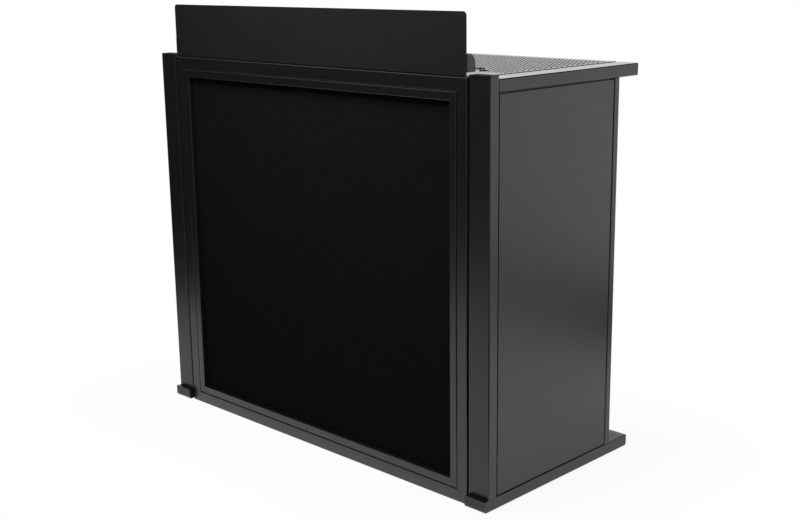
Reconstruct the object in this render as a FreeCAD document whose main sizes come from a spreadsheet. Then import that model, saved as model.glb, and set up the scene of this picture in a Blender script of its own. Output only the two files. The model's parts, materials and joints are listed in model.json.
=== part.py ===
import FreeCAD, Part
import math
import os

import Sketcher
from FreeCAD import Placement, Rotation, Vector

# A free-standing DJ booth of steel tube and sheet: two welded side frames, a mitred front
# frame that holds a drop-in scrim, a perforated deck between the side frames, and a fascia
# that stands on the front frame. Hand knobs hold the frames together.
# Millimetres, +Z up. The front looks along -Y, and the origin is on the floor at the middle
# of the booth's outline. The right half (+X) is drawn, and the left half is its mirror image.

DIMENSIONS = {
    # Whole booth
    "overall_width": 1200.0,
    "overall_depth": 570.0,
    "deck_height": 998.0,
    # Tubes of the side frames
    "tube_face": 62.0,
    "tube_side": 30.0,
    "tube_wall": 2.0,
    "tube_radius": 3.0,
    "foot_reach": 14.0,
    "rear_post_depth": 20.0,
    "rear_overhang": 76.0,
    "post_rise": 2.0,
    # End caps
    "cap_head": 12.0,
    "cap_plug": 20.0,
    "cap_toe_radius": 9.0,
    "post_cap_head": 6.0,
    "plug_clearance": 0.2,
    # Rubber pads under the base rails
    "pad_height": 2.0,
    "pad_width": 44.0,
    "pad_length": 90.0,
    "pad_inset": 6.0,
    # Side panels and the angles that hold them
    "panel_gap": 2.5,
    "panel_sheet": 2.0,
    "panel_return": 8.0,
    "panel_recess": 1.0,
    "panel_angle_leg": 14.0,
    "panel_angle_thickness": 2.0,
    "panel_angle_gap": 0.5,
    # Front frame
    "frame_gap": 4.5,
    "frame_floor_gap": 1.0,
    "frame_rise": 1.0,
    "frame_face": 31.0,
    "frame_wall": 2.0,
    "frame_edge": 1.0,
    "lip_width": 14.0,
    "lip_thickness": 3.0,
    "key_leg": 70.0,
    "key_clearance": 0.2,
    # Scrim frame, scrim and what holds them
    "bead_face": 20.5,
    "bead_depth": 15.0,
    "bead_gap": 1.5,
    "bead_edge": 1.2,
    "groove_width": 3.6,
    "groove_depth": 9.0,
    "groove_setback": 9.0,
    "strip_clearance": 0.2,
    "scrim_thickness": 1.2,
    "scrim_margin": 4.0,
    "lip_clearance": 0.8,
    "magnet_length": 30.0,
    "magnet_width": 8.0,
    "magnet_clearance": 0.1,
    "magnet_spread": 300.0,
    # Fascia
    "fascia_height": 138.0,
    "fascia_end_gap": 9.0,
    "fascia_sheet": 2.0,
    "fascia_setback": 2.4,
    "fascia_lift": 3.0,
    "fascia_corner_radius": 10.0,
    "tab_bend_radius": 3.0,
    "tab_foot": 8.0,
    "tab_height": 40.0,
    "tab_depth": 27.0,
    "tab_corner_radius": 20.0,
    "angle_height": 24.0,
    "angle_depth": 22.0,
    "angle_thickness": 2.0,
    "angle_inset": 6.0,
    "tongue_width": 40.0,
    "tongue_thickness": 5.0,
    "tongue_length": 20.0,
    "tongue_clearance": 0.3,
    "tongue_inset": 110.0,
    # Deck
    "deck_sheet": 2.0,
    "deck_side_gap": 3.0,
    "deck_front_gap": 1.5,
    "edge_angle_height": 28.0,
    "edge_angle_width": 7.0,
    "edge_angle_thickness": 2.0,
    "field_side_margin": 10.0,
    "field_front_margin": 105.0,
    "field_rear_margin": 32.0,
    "hole_pitch": 67.0,
    "hole_flats": 41.0,
    "rib_width": 34.0,
    "rib_height": 20.0,
    "rib_flange": 14.0,
    "rib_thickness": 1.5,
    "rib_plug_gap": 29.0,
    "rib_end_gap": 4.0,
    "plug_radius": 11.0,
    "plug_length": 4.0,
    "plug_inset_x": 92.0,
    "plug_inset_y": 130.0,
    "plug_step_x": 42.0,
    "plug_step_y": 36.0,
    # Cross rails and ledges that carry the deck
    "cross_rail_width": 30.0,
    "front_rail_setback": 6.0,
    "rear_rail_setback": 8.0,
    "ledge_width": 24.0,
    "ledge_height": 22.0,
    "ledge_thickness": 3.0,
    # Cleats and hand knobs
    "cleat_width": 40.0,
    "cleat_length": 72.0,
    "cleat_thickness": 3.0,
    "cleat_overlap": 40.0,
    "cleat_spread": 480.0,
    "stud_inset": 20.0,
    "stud_radius": 4.0,
    "stud_length": 14.0,
    "stud_clearance": 0.4,
    "knob_radius": 19.0,
    "knob_waist_radius": 14.0,
    "knob_height": 14.0,
    "boss_radius": 9.0,
    "boss_height": 4.0,
    # Reach of a cut past the material that it removes
    "overrun": 5.0,
}
KNOB_LOBES = 6
KNOB_LOBE_SHARE = 0.45
PLUGS_PER_CORNER = 2
FASCIA_TONGUES = 4

# Places that several pieces share, as sums of the sheet's cells.
HALF_WIDTH = "(sizes.overall_width / 2)"
HALF_DEPTH = "(sizes.overall_depth / 2)"
TUBE_MIDDLE = f"({HALF_WIDTH} - sizes.tube_face / 2)"
TUBE_INSIDE = f"({HALF_WIDTH} - sizes.tube_face)"
POST_FRONT = f"(sizes.foot_reach - {HALF_DEPTH})"
POST_REAR = f"({POST_FRONT} + sizes.tube_side)"
REAR_POST_BACK = f"({HALF_DEPTH} - sizes.rear_overhang)"
REAR_POST_FRONT = f"({REAR_POST_BACK} - sizes.rear_post_depth)"
POST_TOP = "(sizes.deck_height + sizes.post_rise)"
BASE_TOP = "(sizes.pad_height + sizes.tube_side)"
TOP_RAIL_UNDERSIDE = "(sizes.deck_height - sizes.tube_side)"
PANEL_REAR = f"({HALF_WIDTH} - sizes.panel_recess - sizes.panel_return)"
FRAME_HALF = f"({TUBE_INSIDE} - sizes.frame_gap)"
FRAME_BOTTOM = "sizes.frame_floor_gap"
FRAME_TOP = "(sizes.deck_height + sizes.frame_rise)"
FRAME_HEIGHT = f"({FRAME_TOP} - {FRAME_BOTTOM})"
FRAME_MIDDLE = f"(({FRAME_TOP} + {FRAME_BOTTOM}) / 2)"
BEAD_INSET = "(sizes.frame_face + sizes.bead_gap)"
BEAD_HALF = f"({FRAME_HALF} - {BEAD_INSET})"
BEAD_HEIGHT = f"({FRAME_HEIGHT} - 2 * {BEAD_INSET})"
BEAD_REAR = f"({POST_FRONT} + sizes.bead_depth)"
LIP_SETBACK = "(sizes.bead_depth + sizes.scrim_thickness + sizes.lip_clearance)"
FASCIA_FRONT = f"({POST_FRONT} + sizes.fascia_setback)"
FASCIA_BACK = f"({FASCIA_FRONT} + sizes.fascia_sheet)"
FASCIA_BOTTOM = f"({FRAME_TOP} + sizes.fascia_lift)"
FASCIA_HALF = f"({TUBE_INSIDE} - sizes.fascia_end_gap)"
TONGUE_MIDDLE = f"({FASCIA_BACK} + sizes.angle_depth / 2)"
DECK_UNDERSIDE = "(sizes.deck_height - sizes.deck_sheet)"
DECK_HALF = f"({TUBE_INSIDE} - sizes.deck_side_gap)"
DECK_FRONT = f"({POST_REAR} + sizes.deck_front_gap)"
FRONT_RAIL_MIDDLE = f"({POST_REAR} + sizes.front_rail_setback + sizes.cross_rail_width / 2)"
REAR_RAIL_MIDDLE = f"({HALF_DEPTH} - sizes.rear_rail_setback - sizes.cross_rail_width / 2)"
CROSS_RAIL_HEIGHT = "(sizes.tube_side - sizes.deck_sheet)"
CROSS_RAIL_STUD = f"({TUBE_INSIDE} - sizes.stud_inset)"
FRAME_STUD = f"({FRAME_HALF} - sizes.frame_face / 2)"
KNOB_SEAT_UNDER = f"({TOP_RAIL_UNDERSIDE} - sizes.cleat_thickness)"
KNOB_SEAT_BEHIND = f"({POST_REAR} + sizes.cleat_thickness)"

doc = FreeCAD.newDocument("dj_booth")
sheet = doc.addObject("Spreadsheet::Sheet", "sizes")
for row, (alias, number) in enumerate(DIMENSIONS.items(), start=1):
    sheet.set(f"A{row}", alias)
    sheet.set(f"B{row}", str(number))
    sheet.setAlias(f"B{row}", alias)
doc.recompute()

subparts = []


# Helpers that draw, pad, cut, place and copy

def value(expression):
    """Returns what an expression on the sheet comes to, as a number."""
    return float(sheet.evalExpression(expression))


def keep(item, label):
    """Names an object as a sub-part of the booth."""
    item.Label = label
    subparts.append(item)
    return item


def make_body(name):
    """Starts a body."""
    return doc.addObject("PartDesign::Body", name)


def start_sketch(body, name, plane_role, offset="0"):
    """Starts a sketch on one of the body's own origin planes, moved along its normal by the offset."""
    plane = next(item for item in body.Origin.OriginFeatures if item.Role == plane_role)
    sketch = body.newObject("Sketcher::SketchObject", f"{body.Name}_{name}")
    sketch.AttachmentSupport = [(plane, "")]
    sketch.MapMode = "FlatFace"
    sketch.setExpression("AttachmentOffset.Base.z", offset)
    return sketch


def constrain(sketch, kind, *references, to=None):
    """Adds a constraint, bound to an expression on the sheet where it holds a size."""
    if to is None:
        sketch.addConstraint(Sketcher.Constraint(kind, *references))
        return
    index = sketch.addConstraint(Sketcher.Constraint(kind, *references, value(to)))
    sketch.setExpression(f"Constraints[{index}]", to)


def pin_point(sketch, geometry, end, x, y):
    """Ties one end of an edge to the sketch's origin by two sizes."""
    constrain(sketch, "DistanceX", -1, 1, geometry, end, to=x)
    constrain(sketch, "DistanceY", -1, 1, geometry, end, to=y)


def draw_outline(sketch, points):
    """Draws a closed outline of straight edges through points given as pairs of expressions."""
    first = sketch.GeometryCount
    count = len(points)
    corners = [Vector(value(x), value(y), 0) for x, y in points]
    for index in range(count):
        edge = Part.LineSegment(corners[index], corners[(index + 1) % count])
        sketch.addGeometry(edge, False)
    for index, (x, y) in enumerate(points):
        constrain(sketch, "Coincident", first + index, 2, first + (index + 1) % count, 1)
        pin_point(sketch, first + index, 1, x, y)


def draw_rectangle(sketch, width, height, x="0", y="0"):
    """Draws a rectangle round a point."""
    right, top = f"{x} + ({width}) / 2", f"{y} + ({height}) / 2"
    left, bottom = f"{x} - ({width}) / 2", f"{y} - ({height}) / 2"
    draw_outline(sketch, [(left, bottom), (right, bottom), (right, top), (left, top)])


def draw_rounded_rectangle(sketch, width, height, radius):
    """Draws a rectangle with rounded corners round the sketch's origin."""
    first = sketch.GeometryCount
    x, y, r = value(width) / 2, value(height) / 2, value(radius)
    sides = [((-x + r, -y), (x - r, -y)), ((x, -y + r), (x, y - r)),
             ((x - r, y), (-x + r, y)), ((-x, y - r), (-x, -y + r))]
    centres = [(x - r, -y + r), (x - r, y - r), (-x + r, y - r), (-x + r, -y + r)]
    for turn, (start, end) in enumerate(sides):
        sketch.addGeometry(Part.LineSegment(Vector(*start, 0), Vector(*end, 0)), False)
        corner = Part.Circle(Vector(*centres[turn], 0), Vector(0, 0, 1), r)
        angle = math.radians(90 * (turn - 1))
        sketch.addGeometry(Part.ArcOfCircle(corner, angle, angle + math.radians(90)), False)
    for turn in range(4):
        line, arc, after = first + 2 * turn, first + 2 * turn + 1, first + (2 * turn + 2) % 8
        constrain(sketch, "Tangent", line, 2, arc, 1)
        constrain(sketch, "Tangent", arc, 2, after, 1)
        constrain(sketch, "Vertical" if turn % 2 else "Horizontal", line)
    for turn in range(1, 4):
        constrain(sketch, "Equal", first + 1, first + 2 * turn + 1)
    constrain(sketch, "Radius", first + 1, to=radius)
    pin_point(sketch, first + 2, 1, f"({width}) / 2", f"({radius}) - ({height}) / 2")
    pin_point(sketch, first + 6, 1, f"-({width}) / 2", f"({height}) / 2 - ({radius})")


def draw_corner_waste(sketch, x, y, radius):
    """Draws what a rounding takes off a corner at a point whose solid lies towards -X and -Y."""
    first = sketch.GeometryCount
    past_x, past_y = f"{x} + sizes.overrun", f"{y} + sizes.overrun"
    before_x, before_y = f"{x} - {radius}", f"{y} - {radius}"
    points = [(before_x, y), (before_x, past_y), (past_x, past_y), (past_x, before_y), (x, before_y)]
    corners = [Vector(value(across), value(up), 0) for across, up in points]
    for start, end in zip(corners, corners[1:]):
        sketch.addGeometry(Part.LineSegment(start, end), False)
    circle = Part.Circle(Vector(corners[0].x, corners[-1].y, 0), Vector(0, 0, 1), value(radius))
    sketch.addGeometry(Part.ArcOfCircle(circle, 0, math.radians(90)), False)
    arc = first + 4
    for line, (across, up) in enumerate(points[:4]):
        pin_point(sketch, first + line, 1, across, up)
    for line in range(3):
        constrain(sketch, "Coincident", first + line, 2, first + line + 1, 1)
    pin_point(sketch, first + 3, 2, x, before_y)
    constrain(sketch, "Coincident", first + 3, 2, arc, 1)
    constrain(sketch, "Coincident", arc, 2, first, 1)
    constrain(sketch, "Radius", arc, to=radius)


def draw_circle(sketch, x, y, radius):
    """Draws a circle round a point."""
    centre = Vector(value(x), value(y), 0)
    index = sketch.addGeometry(Part.Circle(centre, Vector(0, 0, 1), value(radius)), False)
    constrain(sketch, "Radius", index, to=radius)
    pin_point(sketch, index, 3, x, y)


def pad(body, sketch, length, reverse=False, both_ways=False):
    """Pads a sketch along its normal, against it, or half each way."""
    feature = body.newObject("PartDesign::Pad", f"{sketch.Name}_pad")
    feature.Profile = sketch
    feature.setExpression("Length", length)
    feature.Reversed = reverse
    feature.SideType = "Symmetric" if both_ways else "One side"
    doc.recompute()
    return feature


def pocket(body, sketch, depth=None, reverse=False):
    """Cuts a sketch out of the body, right through both ways where no depth is given."""
    doc.recompute()
    before = body.Shape.Volume
    feature = body.newObject("PartDesign::Pocket", f"{sketch.Name}_pocket")
    feature.Profile = sketch
    feature.Reversed = reverse
    if depth is None:
        feature.Type = "ThroughAll"
        feature.SideType = "Symmetric"
    else:
        feature.setExpression("Length", depth)
    doc.recompute()
    if not body.Shape.Volume < before:
        raise ValueError(f"{feature.Name} cuts nothing")
    return feature


def round_edges(body, radius, chosen):
    """Rounds the edges that a test on an edge's middle and direction chooses."""
    doc.recompute()
    base = body.Tip
    names = []
    for number, edge in enumerate(base.Shape.Edges, start=1):
        run = edge.Vertexes[-1].Point - edge.Vertexes[0].Point
        if chosen(edge.CenterOfMass, run.normalize()):
            names.append(f"Edge{number}")
    if not names:
        raise ValueError(f"{body.Name} has no such edge")
    feature = body.newObject("PartDesign::Fillet", f"{base.Name}_fillet")
    feature.Base = (base, names)
    feature.setExpression("Radius", radius)
    doc.recompute()


def near(first, second):
    """Tells whether two lengths are the same."""
    return abs(first - second) < Part.Precision.confusion() * 100


def place(item, x="0", y="0", z="0", axis=Vector(0, 0, 1), angle=0):
    """Puts an object at a place bound to the sheet, turned about an axis through it."""
    item.Placement = Placement(Vector(0, 0, 0), Rotation(axis, angle))
    item.setExpression("Placement.Base.x", x)
    item.setExpression("Placement.Base.y", y)
    item.setExpression("Placement.Base.z", z)
    return item


def copies(label, master, places):
    """Makes one sub-part of several copies of a master, each at its own place."""
    links = []
    for number, spot in enumerate(places, start=1):
        link = doc.addObject("App::Link", f"{label}_{number}")
        link.LinkedObject = master
        links.append(place(link, **spot))
    group = doc.addObject("Part::Compound", label)
    group.Links = links
    return keep(group, label)


def mirrored(item, name):
    """Names an object as the right-hand sub-part and makes its left-hand mirror image."""
    keep(item, f"{name}_right")
    image = doc.addObject("Part::Mirroring", f"{name}_left")
    image.Source = item
    image.Normal = Vector(1, 0, 0)
    keep(image, f"{name}_left")


def mirrored_copies(name, master, places):
    """Makes a right-hand group of copies and its left-hand mirror image."""
    group = copies(f"{name}_right", master, places)
    image = doc.addObject("Part::Mirroring", f"{name}_left")
    image.Source = group
    image.Normal = Vector(1, 0, 0)
    keep(image, f"{name}_left")


# Side frames

def tube(name, plane_role, width, height, length):
    """Makes a rectangular tube with rounded corners that runs from its body's origin."""
    body = make_body(name)
    section = start_sketch(body, "section", plane_role)
    draw_rounded_rectangle(section, width, height, "sizes.tube_radius")
    draw_rectangle(section, f"{width} - 2 * sizes.tube_wall", f"{height} - 2 * sizes.tube_wall")
    pad(body, section, length, reverse=plane_role == "XZ_Plane")
    return body


def make_side_frames():
    """Makes the posts and rails of both side frames."""
    base = tube("base_rail", "XZ_Plane", "sizes.tube_face", "sizes.tube_side",
                "sizes.overall_depth - 2 * sizes.cap_head")
    place(base, TUBE_MIDDLE, f"sizes.cap_head - {HALF_DEPTH}", f"{BASE_TOP} - sizes.tube_side / 2")
    mirrored(base, "base_rail")

    front = tube("front_post", "XY_Plane", "sizes.tube_face", "sizes.tube_side",
                 f"{POST_TOP} - {BASE_TOP}")
    place(front, TUBE_MIDDLE, f"{POST_FRONT} + sizes.tube_side / 2", BASE_TOP)
    mirrored(front, "front_post")

    rear = tube("rear_post", "XY_Plane", "sizes.tube_face", "sizes.rear_post_depth",
                f"{TOP_RAIL_UNDERSIDE} - {BASE_TOP}")
    place(rear, TUBE_MIDDLE, f"{REAR_POST_BACK} - sizes.rear_post_depth / 2", BASE_TOP)
    mirrored(rear, "rear_post")

    top = tube("top_rail", "XZ_Plane", "sizes.tube_face", "sizes.tube_side",
               f"{HALF_DEPTH} - sizes.cap_head - {POST_REAR}")
    place(top, TUBE_MIDDLE, POST_REAR, "sizes.deck_height - sizes.tube_side / 2")
    mirrored(top, "top_rail")


def end_cap(name, head):
    """Makes a cap whose head covers a tube's end, towards +Z, and whose plug fills the tube, towards -Z."""
    body = make_body(name)
    cover = start_sketch(body, "cover", "XY_Plane")
    draw_rounded_rectangle(cover, "sizes.tube_face", "sizes.tube_side", "sizes.tube_radius")
    pad(body, cover, head)
    plug = start_sketch(body, "plug", "XY_Plane")
    taken = "2 * (sizes.tube_wall + sizes.plug_clearance)"
    draw_rectangle(plug, f"sizes.tube_face - {taken}", f"sizes.tube_side - {taken}")
    pad(body, plug, "sizes.cap_plug", reverse=True)
    return body


def base_rail_cap(name):
    """Makes a base rail's cap, with the lower edge of its head rounded like a toe."""
    body = end_cap(name, "sizes.cap_head")
    toe = start_sketch(body, "toe", "YZ_Plane")
    draw_corner_waste(toe, "sizes.tube_side / 2", "sizes.cap_head", "sizes.cap_toe_radius")
    pocket(body, toe)
    return body


def make_caps_and_pads():
    """Makes the caps of the tubes' open ends and the rubber pads under the base rails."""
    out_along_y = {"axis": Vector(1, 0, 0), "angle": -90}
    base_middle = f"{BASE_TOP} - sizes.tube_side / 2"
    toe_down = Rotation(Vector(0, 0, 1), 180).multiply(Rotation(Vector(1, 0, 0), -90))
    rail = base_rail_cap("base_cap_master")
    mirrored_copies("base_rail_caps", rail, [
        {"x": TUBE_MIDDLE, "y": f"sizes.cap_head - {HALF_DEPTH}", "z": base_middle,
         "axis": toe_down.Axis, "angle": math.degrees(toe_down.Angle)},
        {"x": TUBE_MIDDLE, "y": f"{HALF_DEPTH} - sizes.cap_head", "z": base_middle, **out_along_y}])

    top = end_cap("top_rail_cap", "sizes.cap_head")
    place(top, TUBE_MIDDLE, f"{HALF_DEPTH} - sizes.cap_head",
          "sizes.deck_height - sizes.tube_side / 2", **out_along_y)
    mirrored(top, "top_rail_cap")

    post = end_cap("post_cap", "sizes.post_cap_head")
    place(post, TUBE_MIDDLE, f"{POST_FRONT} + sizes.tube_side / 2", POST_TOP)
    mirrored(post, "post_cap")

    pad_master = make_body("foot_pad_master")
    outline = start_sketch(pad_master, "outline", "XY_Plane")
    draw_rectangle(outline, "sizes.pad_width", "sizes.pad_length")
    pad(pad_master, outline, "sizes.pad_height")
    reach = f"({HALF_DEPTH} - sizes.cap_head - sizes.pad_inset - sizes.pad_length / 2)"
    mirrored_copies("foot_pads", pad_master, [{"x": TUBE_MIDDLE, "y": f"-{reach}"},
                                              {"x": TUBE_MIDDLE, "y": reach}])


# Side panels

def panel_angle(name, length):
    """Makes an angle along Z about its body's origin: one leg lies on a tube, the other backs a panel."""
    body = make_body(name)
    section = start_sketch(body, "section", "XY_Plane")
    leg, thin = "sizes.panel_angle_leg", "sizes.panel_angle_thickness"
    draw_outline(section, [("0", "0"), ("0", leg), (f"-{thin}", leg), (f"-{thin}", thin),
                           (f"-{leg}", thin), (f"-{leg}", "0")])
    pad(body, section, length, both_ways=True)
    return body


def make_side_panels():
    """Makes the tray-shaped side panels and the angles all round that hold them in the side frames."""
    room_y, room_z = f"({REAR_POST_FRONT} - {POST_REAR})", f"({TOP_RAIL_UNDERSIDE} - {BASE_TOP})"
    middle_y, middle_z = f"({POST_REAR} + {REAR_POST_FRONT}) / 2", f"({BASE_TOP} + {TOP_RAIL_UNDERSIDE}) / 2"
    width, height = f"({room_y} - 2 * sizes.panel_gap)", f"({room_z} - 2 * sizes.panel_gap)"
    panel = make_body("side_panel")
    outline = start_sketch(panel, "outline", "YZ_Plane")
    draw_rectangle(outline, width, height)
    pad(panel, outline, "sizes.panel_return")
    inside = start_sketch(panel, "inside", "YZ_Plane", "sizes.panel_return - sizes.panel_sheet")
    draw_rectangle(inside, f"{width} - 2 * sizes.panel_sheet", f"{height} - 2 * sizes.panel_sheet")
    pocket(panel, inside, "sizes.panel_return")
    place(panel, PANEL_REAR, middle_y, middle_z)
    mirrored(panel, "side_panel")

    along_x = Vector(1, 0, 0)
    upright = panel_angle("panel_upright_master", room_z)
    mirrored_copies("panel_upright_angles", upright, [
        {"x": PANEL_REAR, "y": POST_REAR, "z": middle_z},
        {"x": PANEL_REAR, "y": REAR_POST_FRONT, "z": middle_z, "axis": along_x, "angle": 180}])
    level = panel_angle("panel_level_master",
                        f"{room_y} - 2 * (sizes.panel_angle_leg + sizes.panel_angle_gap)")
    mirrored_copies("panel_level_angles", level, [
        {"x": PANEL_REAR, "y": middle_y, "z": BASE_TOP, "axis": along_x, "angle": 90},
        {"x": PANEL_REAR, "y": middle_y, "z": TOP_RAIL_UNDERSIDE, "axis": along_x, "angle": -90}])


# Front frame and scrim frame

def mitred_length(name, section_points, hollow_points, length, reach):
    """Makes a mitred frame length.

    It runs along X about its body's origin, with its outer edge at Z 0 and its front at Y 0.
    """
    body = make_body(name)
    section = start_sketch(body, "section", "YZ_Plane")
    draw_outline(section, section_points)
    if hollow_points:
        draw_outline(section, hollow_points)
    pad(body, section, length, both_ways=True)
    ends = start_sketch(body, "mitres", "XZ_Plane")
    far = f"({length} / 2 + sizes.overrun)"
    near_end = f"({length} / 2 - {reach} - sizes.overrun)"
    low = f"-({reach} + sizes.overrun)"
    draw_outline(ends, [(far, "sizes.overrun"), (near_end, low), (far, low)])
    draw_outline(ends, [(f"-{far}", "sizes.overrun"), (f"-{far}", low), (f"-{near_end}", low)])
    pocket(body, ends)
    return body


def four_sides(half_width, low, high, front):
    """Returns the places of the top, right, bottom and left lengths of an upright frame."""
    about_y = Vector(0, 1, 0)
    middle = f"({low} + {high}) / 2"
    return {
        "top": {"x": "0", "y": front, "z": high},
        "right": {"x": half_width, "y": front, "z": middle, "axis": about_y, "angle": 90},
        "bottom": {"x": "0", "y": front, "z": low, "axis": about_y, "angle": 180},
        "left": {"x": f"-{half_width}", "y": front, "z": middle, "axis": about_y, "angle": 270},
    }


def drill(body, name, plane_role, spots, radius, offset="0", depth=None, reverse=False):
    """Cuts a row of round holes."""
    sketch = start_sketch(body, name, plane_role, offset)
    for x, y in spots:
        draw_circle(sketch, x, y, radius)
    pocket(body, sketch, depth, reverse)


def cut_slots(body, name, plane_role, spots, width, height, offset="0", depth=None, reverse=False):
    """Cuts a row of rectangular slots."""
    sketch = start_sketch(body, name, plane_role, offset)
    for x, y in spots:
        draw_rectangle(sketch, width, height, x, y)
    pocket(body, sketch, depth, reverse)


def make_front_frame():
    """Makes the four hollow lengths of the front frame, with a lip that the scrim frame seats on."""
    face, edge, wall = "sizes.frame_face", "sizes.frame_edge", "sizes.frame_wall"
    lip_edge = f"({face} + sizes.lip_width)"
    lip_rear = f"({LIP_SETBACK} + sizes.lip_thickness)"
    section = [("0", f"-{edge}"), ("0", f"{edge} - {face}"), (edge, f"-{face}"), (LIP_SETBACK, f"-{face}"),
               (LIP_SETBACK, f"-{lip_edge}"), (lip_rear, f"-{lip_edge}"), (lip_rear, f"-{face}"),
               ("sizes.tube_side", f"-{face}"), ("sizes.tube_side", "0"), (edge, "0")]
    back = f"sizes.tube_side - {wall}"
    hollow = [(wall, f"-{wall}"), (back, f"-{wall}"), (back, f"{wall} - {face}"), (wall, f"{wall} - {face}")]
    width = f"2 * {FRAME_HALF}"
    lengths = {"top": width, "bottom": width, "left": FRAME_HEIGHT, "right": FRAME_HEIGHT}
    names = {"top": "frame_top_rail", "bottom": "frame_bottom_rail", "left": "frame_stile_left",
             "right": "frame_stile_right"}
    lip_middle = f"-({face} + sizes.lip_width / 2)"
    magnets = [("sizes.magnet_spread", lip_middle), ("-sizes.magnet_spread", lip_middle)]
    magnet_room, tongue_room = "2 * sizes.magnet_clearance", "2 * sizes.tongue_clearance"
    tongues = [(x, f"{TONGUE_MIDDLE} - {POST_FRONT}") for x in tongue_places()]
    for side, spot in four_sides(FRAME_HALF, FRAME_BOTTOM, FRAME_TOP, POST_FRONT).items():
        body = mitred_length(names[side], section, hollow, lengths[side], lip_edge)
        cut_slots(body, "magnets", "XZ_Plane", magnets, f"sizes.magnet_length + {magnet_room}",
                  f"sizes.magnet_width + {magnet_room}")
        if side == "top":
            cut_slots(body, "tongues", "XY_Plane", tongues, f"sizes.tongue_width + {tongue_room}",
                      f"sizes.tongue_thickness + {tongue_room}", "-sizes.frame_wall - sizes.overrun",
                      "sizes.frame_wall + 2 * sizes.overrun", reverse=True)
        if side in ("left", "right"):
            reach = "sizes.cleat_spread / 2"
            drill(body, "studs", "XZ_Plane", [(reach, f"-{face} / 2"), (f"-{reach}", f"-{face} / 2")],
                  "sizes.stud_radius + sizes.stud_clearance", "-sizes.tube_side - sizes.overrun",
                  "sizes.frame_wall + 2 * sizes.overrun", reverse=True)
        keep(place(body, **spot), names[side])


def make_corner_keys():
    """Makes the angle keys that join the front frame's lengths inside their mitred corners."""
    key = make_body("corner_key_master")
    outline = start_sketch(key, "outline", "XZ_Plane")
    start = "-(sizes.frame_wall + sizes.key_clearance)"
    inner = "(sizes.frame_wall + sizes.key_clearance - sizes.frame_face)"
    end = f"({start} - sizes.key_leg)"
    draw_outline(outline, [(start, start), (end, start), (end, inner),
                           (inner, inner), (inner, end), (start, end)])
    depth = "sizes.tube_side - 2 * (sizes.frame_wall + sizes.key_clearance)"
    pad(key, outline, depth, reverse=True)
    about_y = Vector(0, 1, 0)
    front = f"{POST_FRONT} + sizes.frame_wall + sizes.key_clearance"
    corners = [(FRAME_HALF, FRAME_TOP), (FRAME_HALF, FRAME_BOTTOM),
               (f"-{FRAME_HALF}", FRAME_BOTTOM), (f"-{FRAME_HALF}", FRAME_TOP)]
    copies("frame_corner_keys", key, [{"x": x, "y": front, "z": z, "axis": about_y, "angle": 90 * turn}
                                      for turn, (x, z) in enumerate(corners)])


def make_magnets():
    """Makes the bar magnets in the front frame's lip."""
    magnet = make_body("magnet_master")
    outline = start_sketch(magnet, "outline", "XZ_Plane")
    draw_rectangle(outline, "sizes.magnet_length", "sizes.magnet_width")
    pad(magnet, outline, "sizes.lip_thickness", reverse=True)
    row = "(sizes.frame_face + sizes.lip_width / 2)"
    front = f"{POST_FRONT} + {LIP_SETBACK}"
    across, up = f"({FRAME_HALF} - {row})", f"({FRAME_HEIGHT} / 2 - {row})"
    spread = "sizes.magnet_spread"
    upright = {"axis": Vector(0, 1, 0), "angle": 90}
    spots = []
    for sign in ("", "-"):
        for end in ("", "-"):
            spots.append({"x": f"{end}{spread}", "y": front, "z": f"{FRAME_MIDDLE} + {sign}{up}"})
            level = f"{FRAME_MIDDLE} + {end}{spread}"
            spots.append({"x": f"{sign}{across}", "y": front, "z": level, **upright})
    copies("scrim_magnets", magnet, spots)


def make_scrim_frame():
    """Makes the four lengths of the scrim frame, each with a groove in its back for the edge strip."""
    face, depth, edge = "sizes.bead_face", "sizes.bead_depth", "sizes.bead_edge"
    groove_near, groove_far = "sizes.groove_setback", "(sizes.groove_setback + sizes.groove_width)"
    floor = f"{depth} - sizes.groove_depth"
    section = [("0", f"-{edge}"), ("0", f"{edge} - {face}"), (edge, f"-{face}"), (depth, f"-{face}"),
               (depth, f"-{groove_far}"), (floor, f"-{groove_far}"), (floor, f"-{groove_near}"),
               (depth, f"-{groove_near}"), (depth, "0"), (edge, "0")]
    width = f"2 * {BEAD_HALF}"
    lengths = {"top": width, "bottom": width, "left": BEAD_HEIGHT, "right": BEAD_HEIGHT}
    low, high = f"({FRAME_BOTTOM} + {BEAD_INSET})", f"({FRAME_TOP} - {BEAD_INSET})"
    for side, spot in four_sides(BEAD_HALF, low, high, POST_FRONT).items():
        body = mitred_length(f"scrim_frame_{side}", section, None, lengths[side], face)
        keep(place(body, **spot), f"scrim_frame_{side}")


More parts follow.
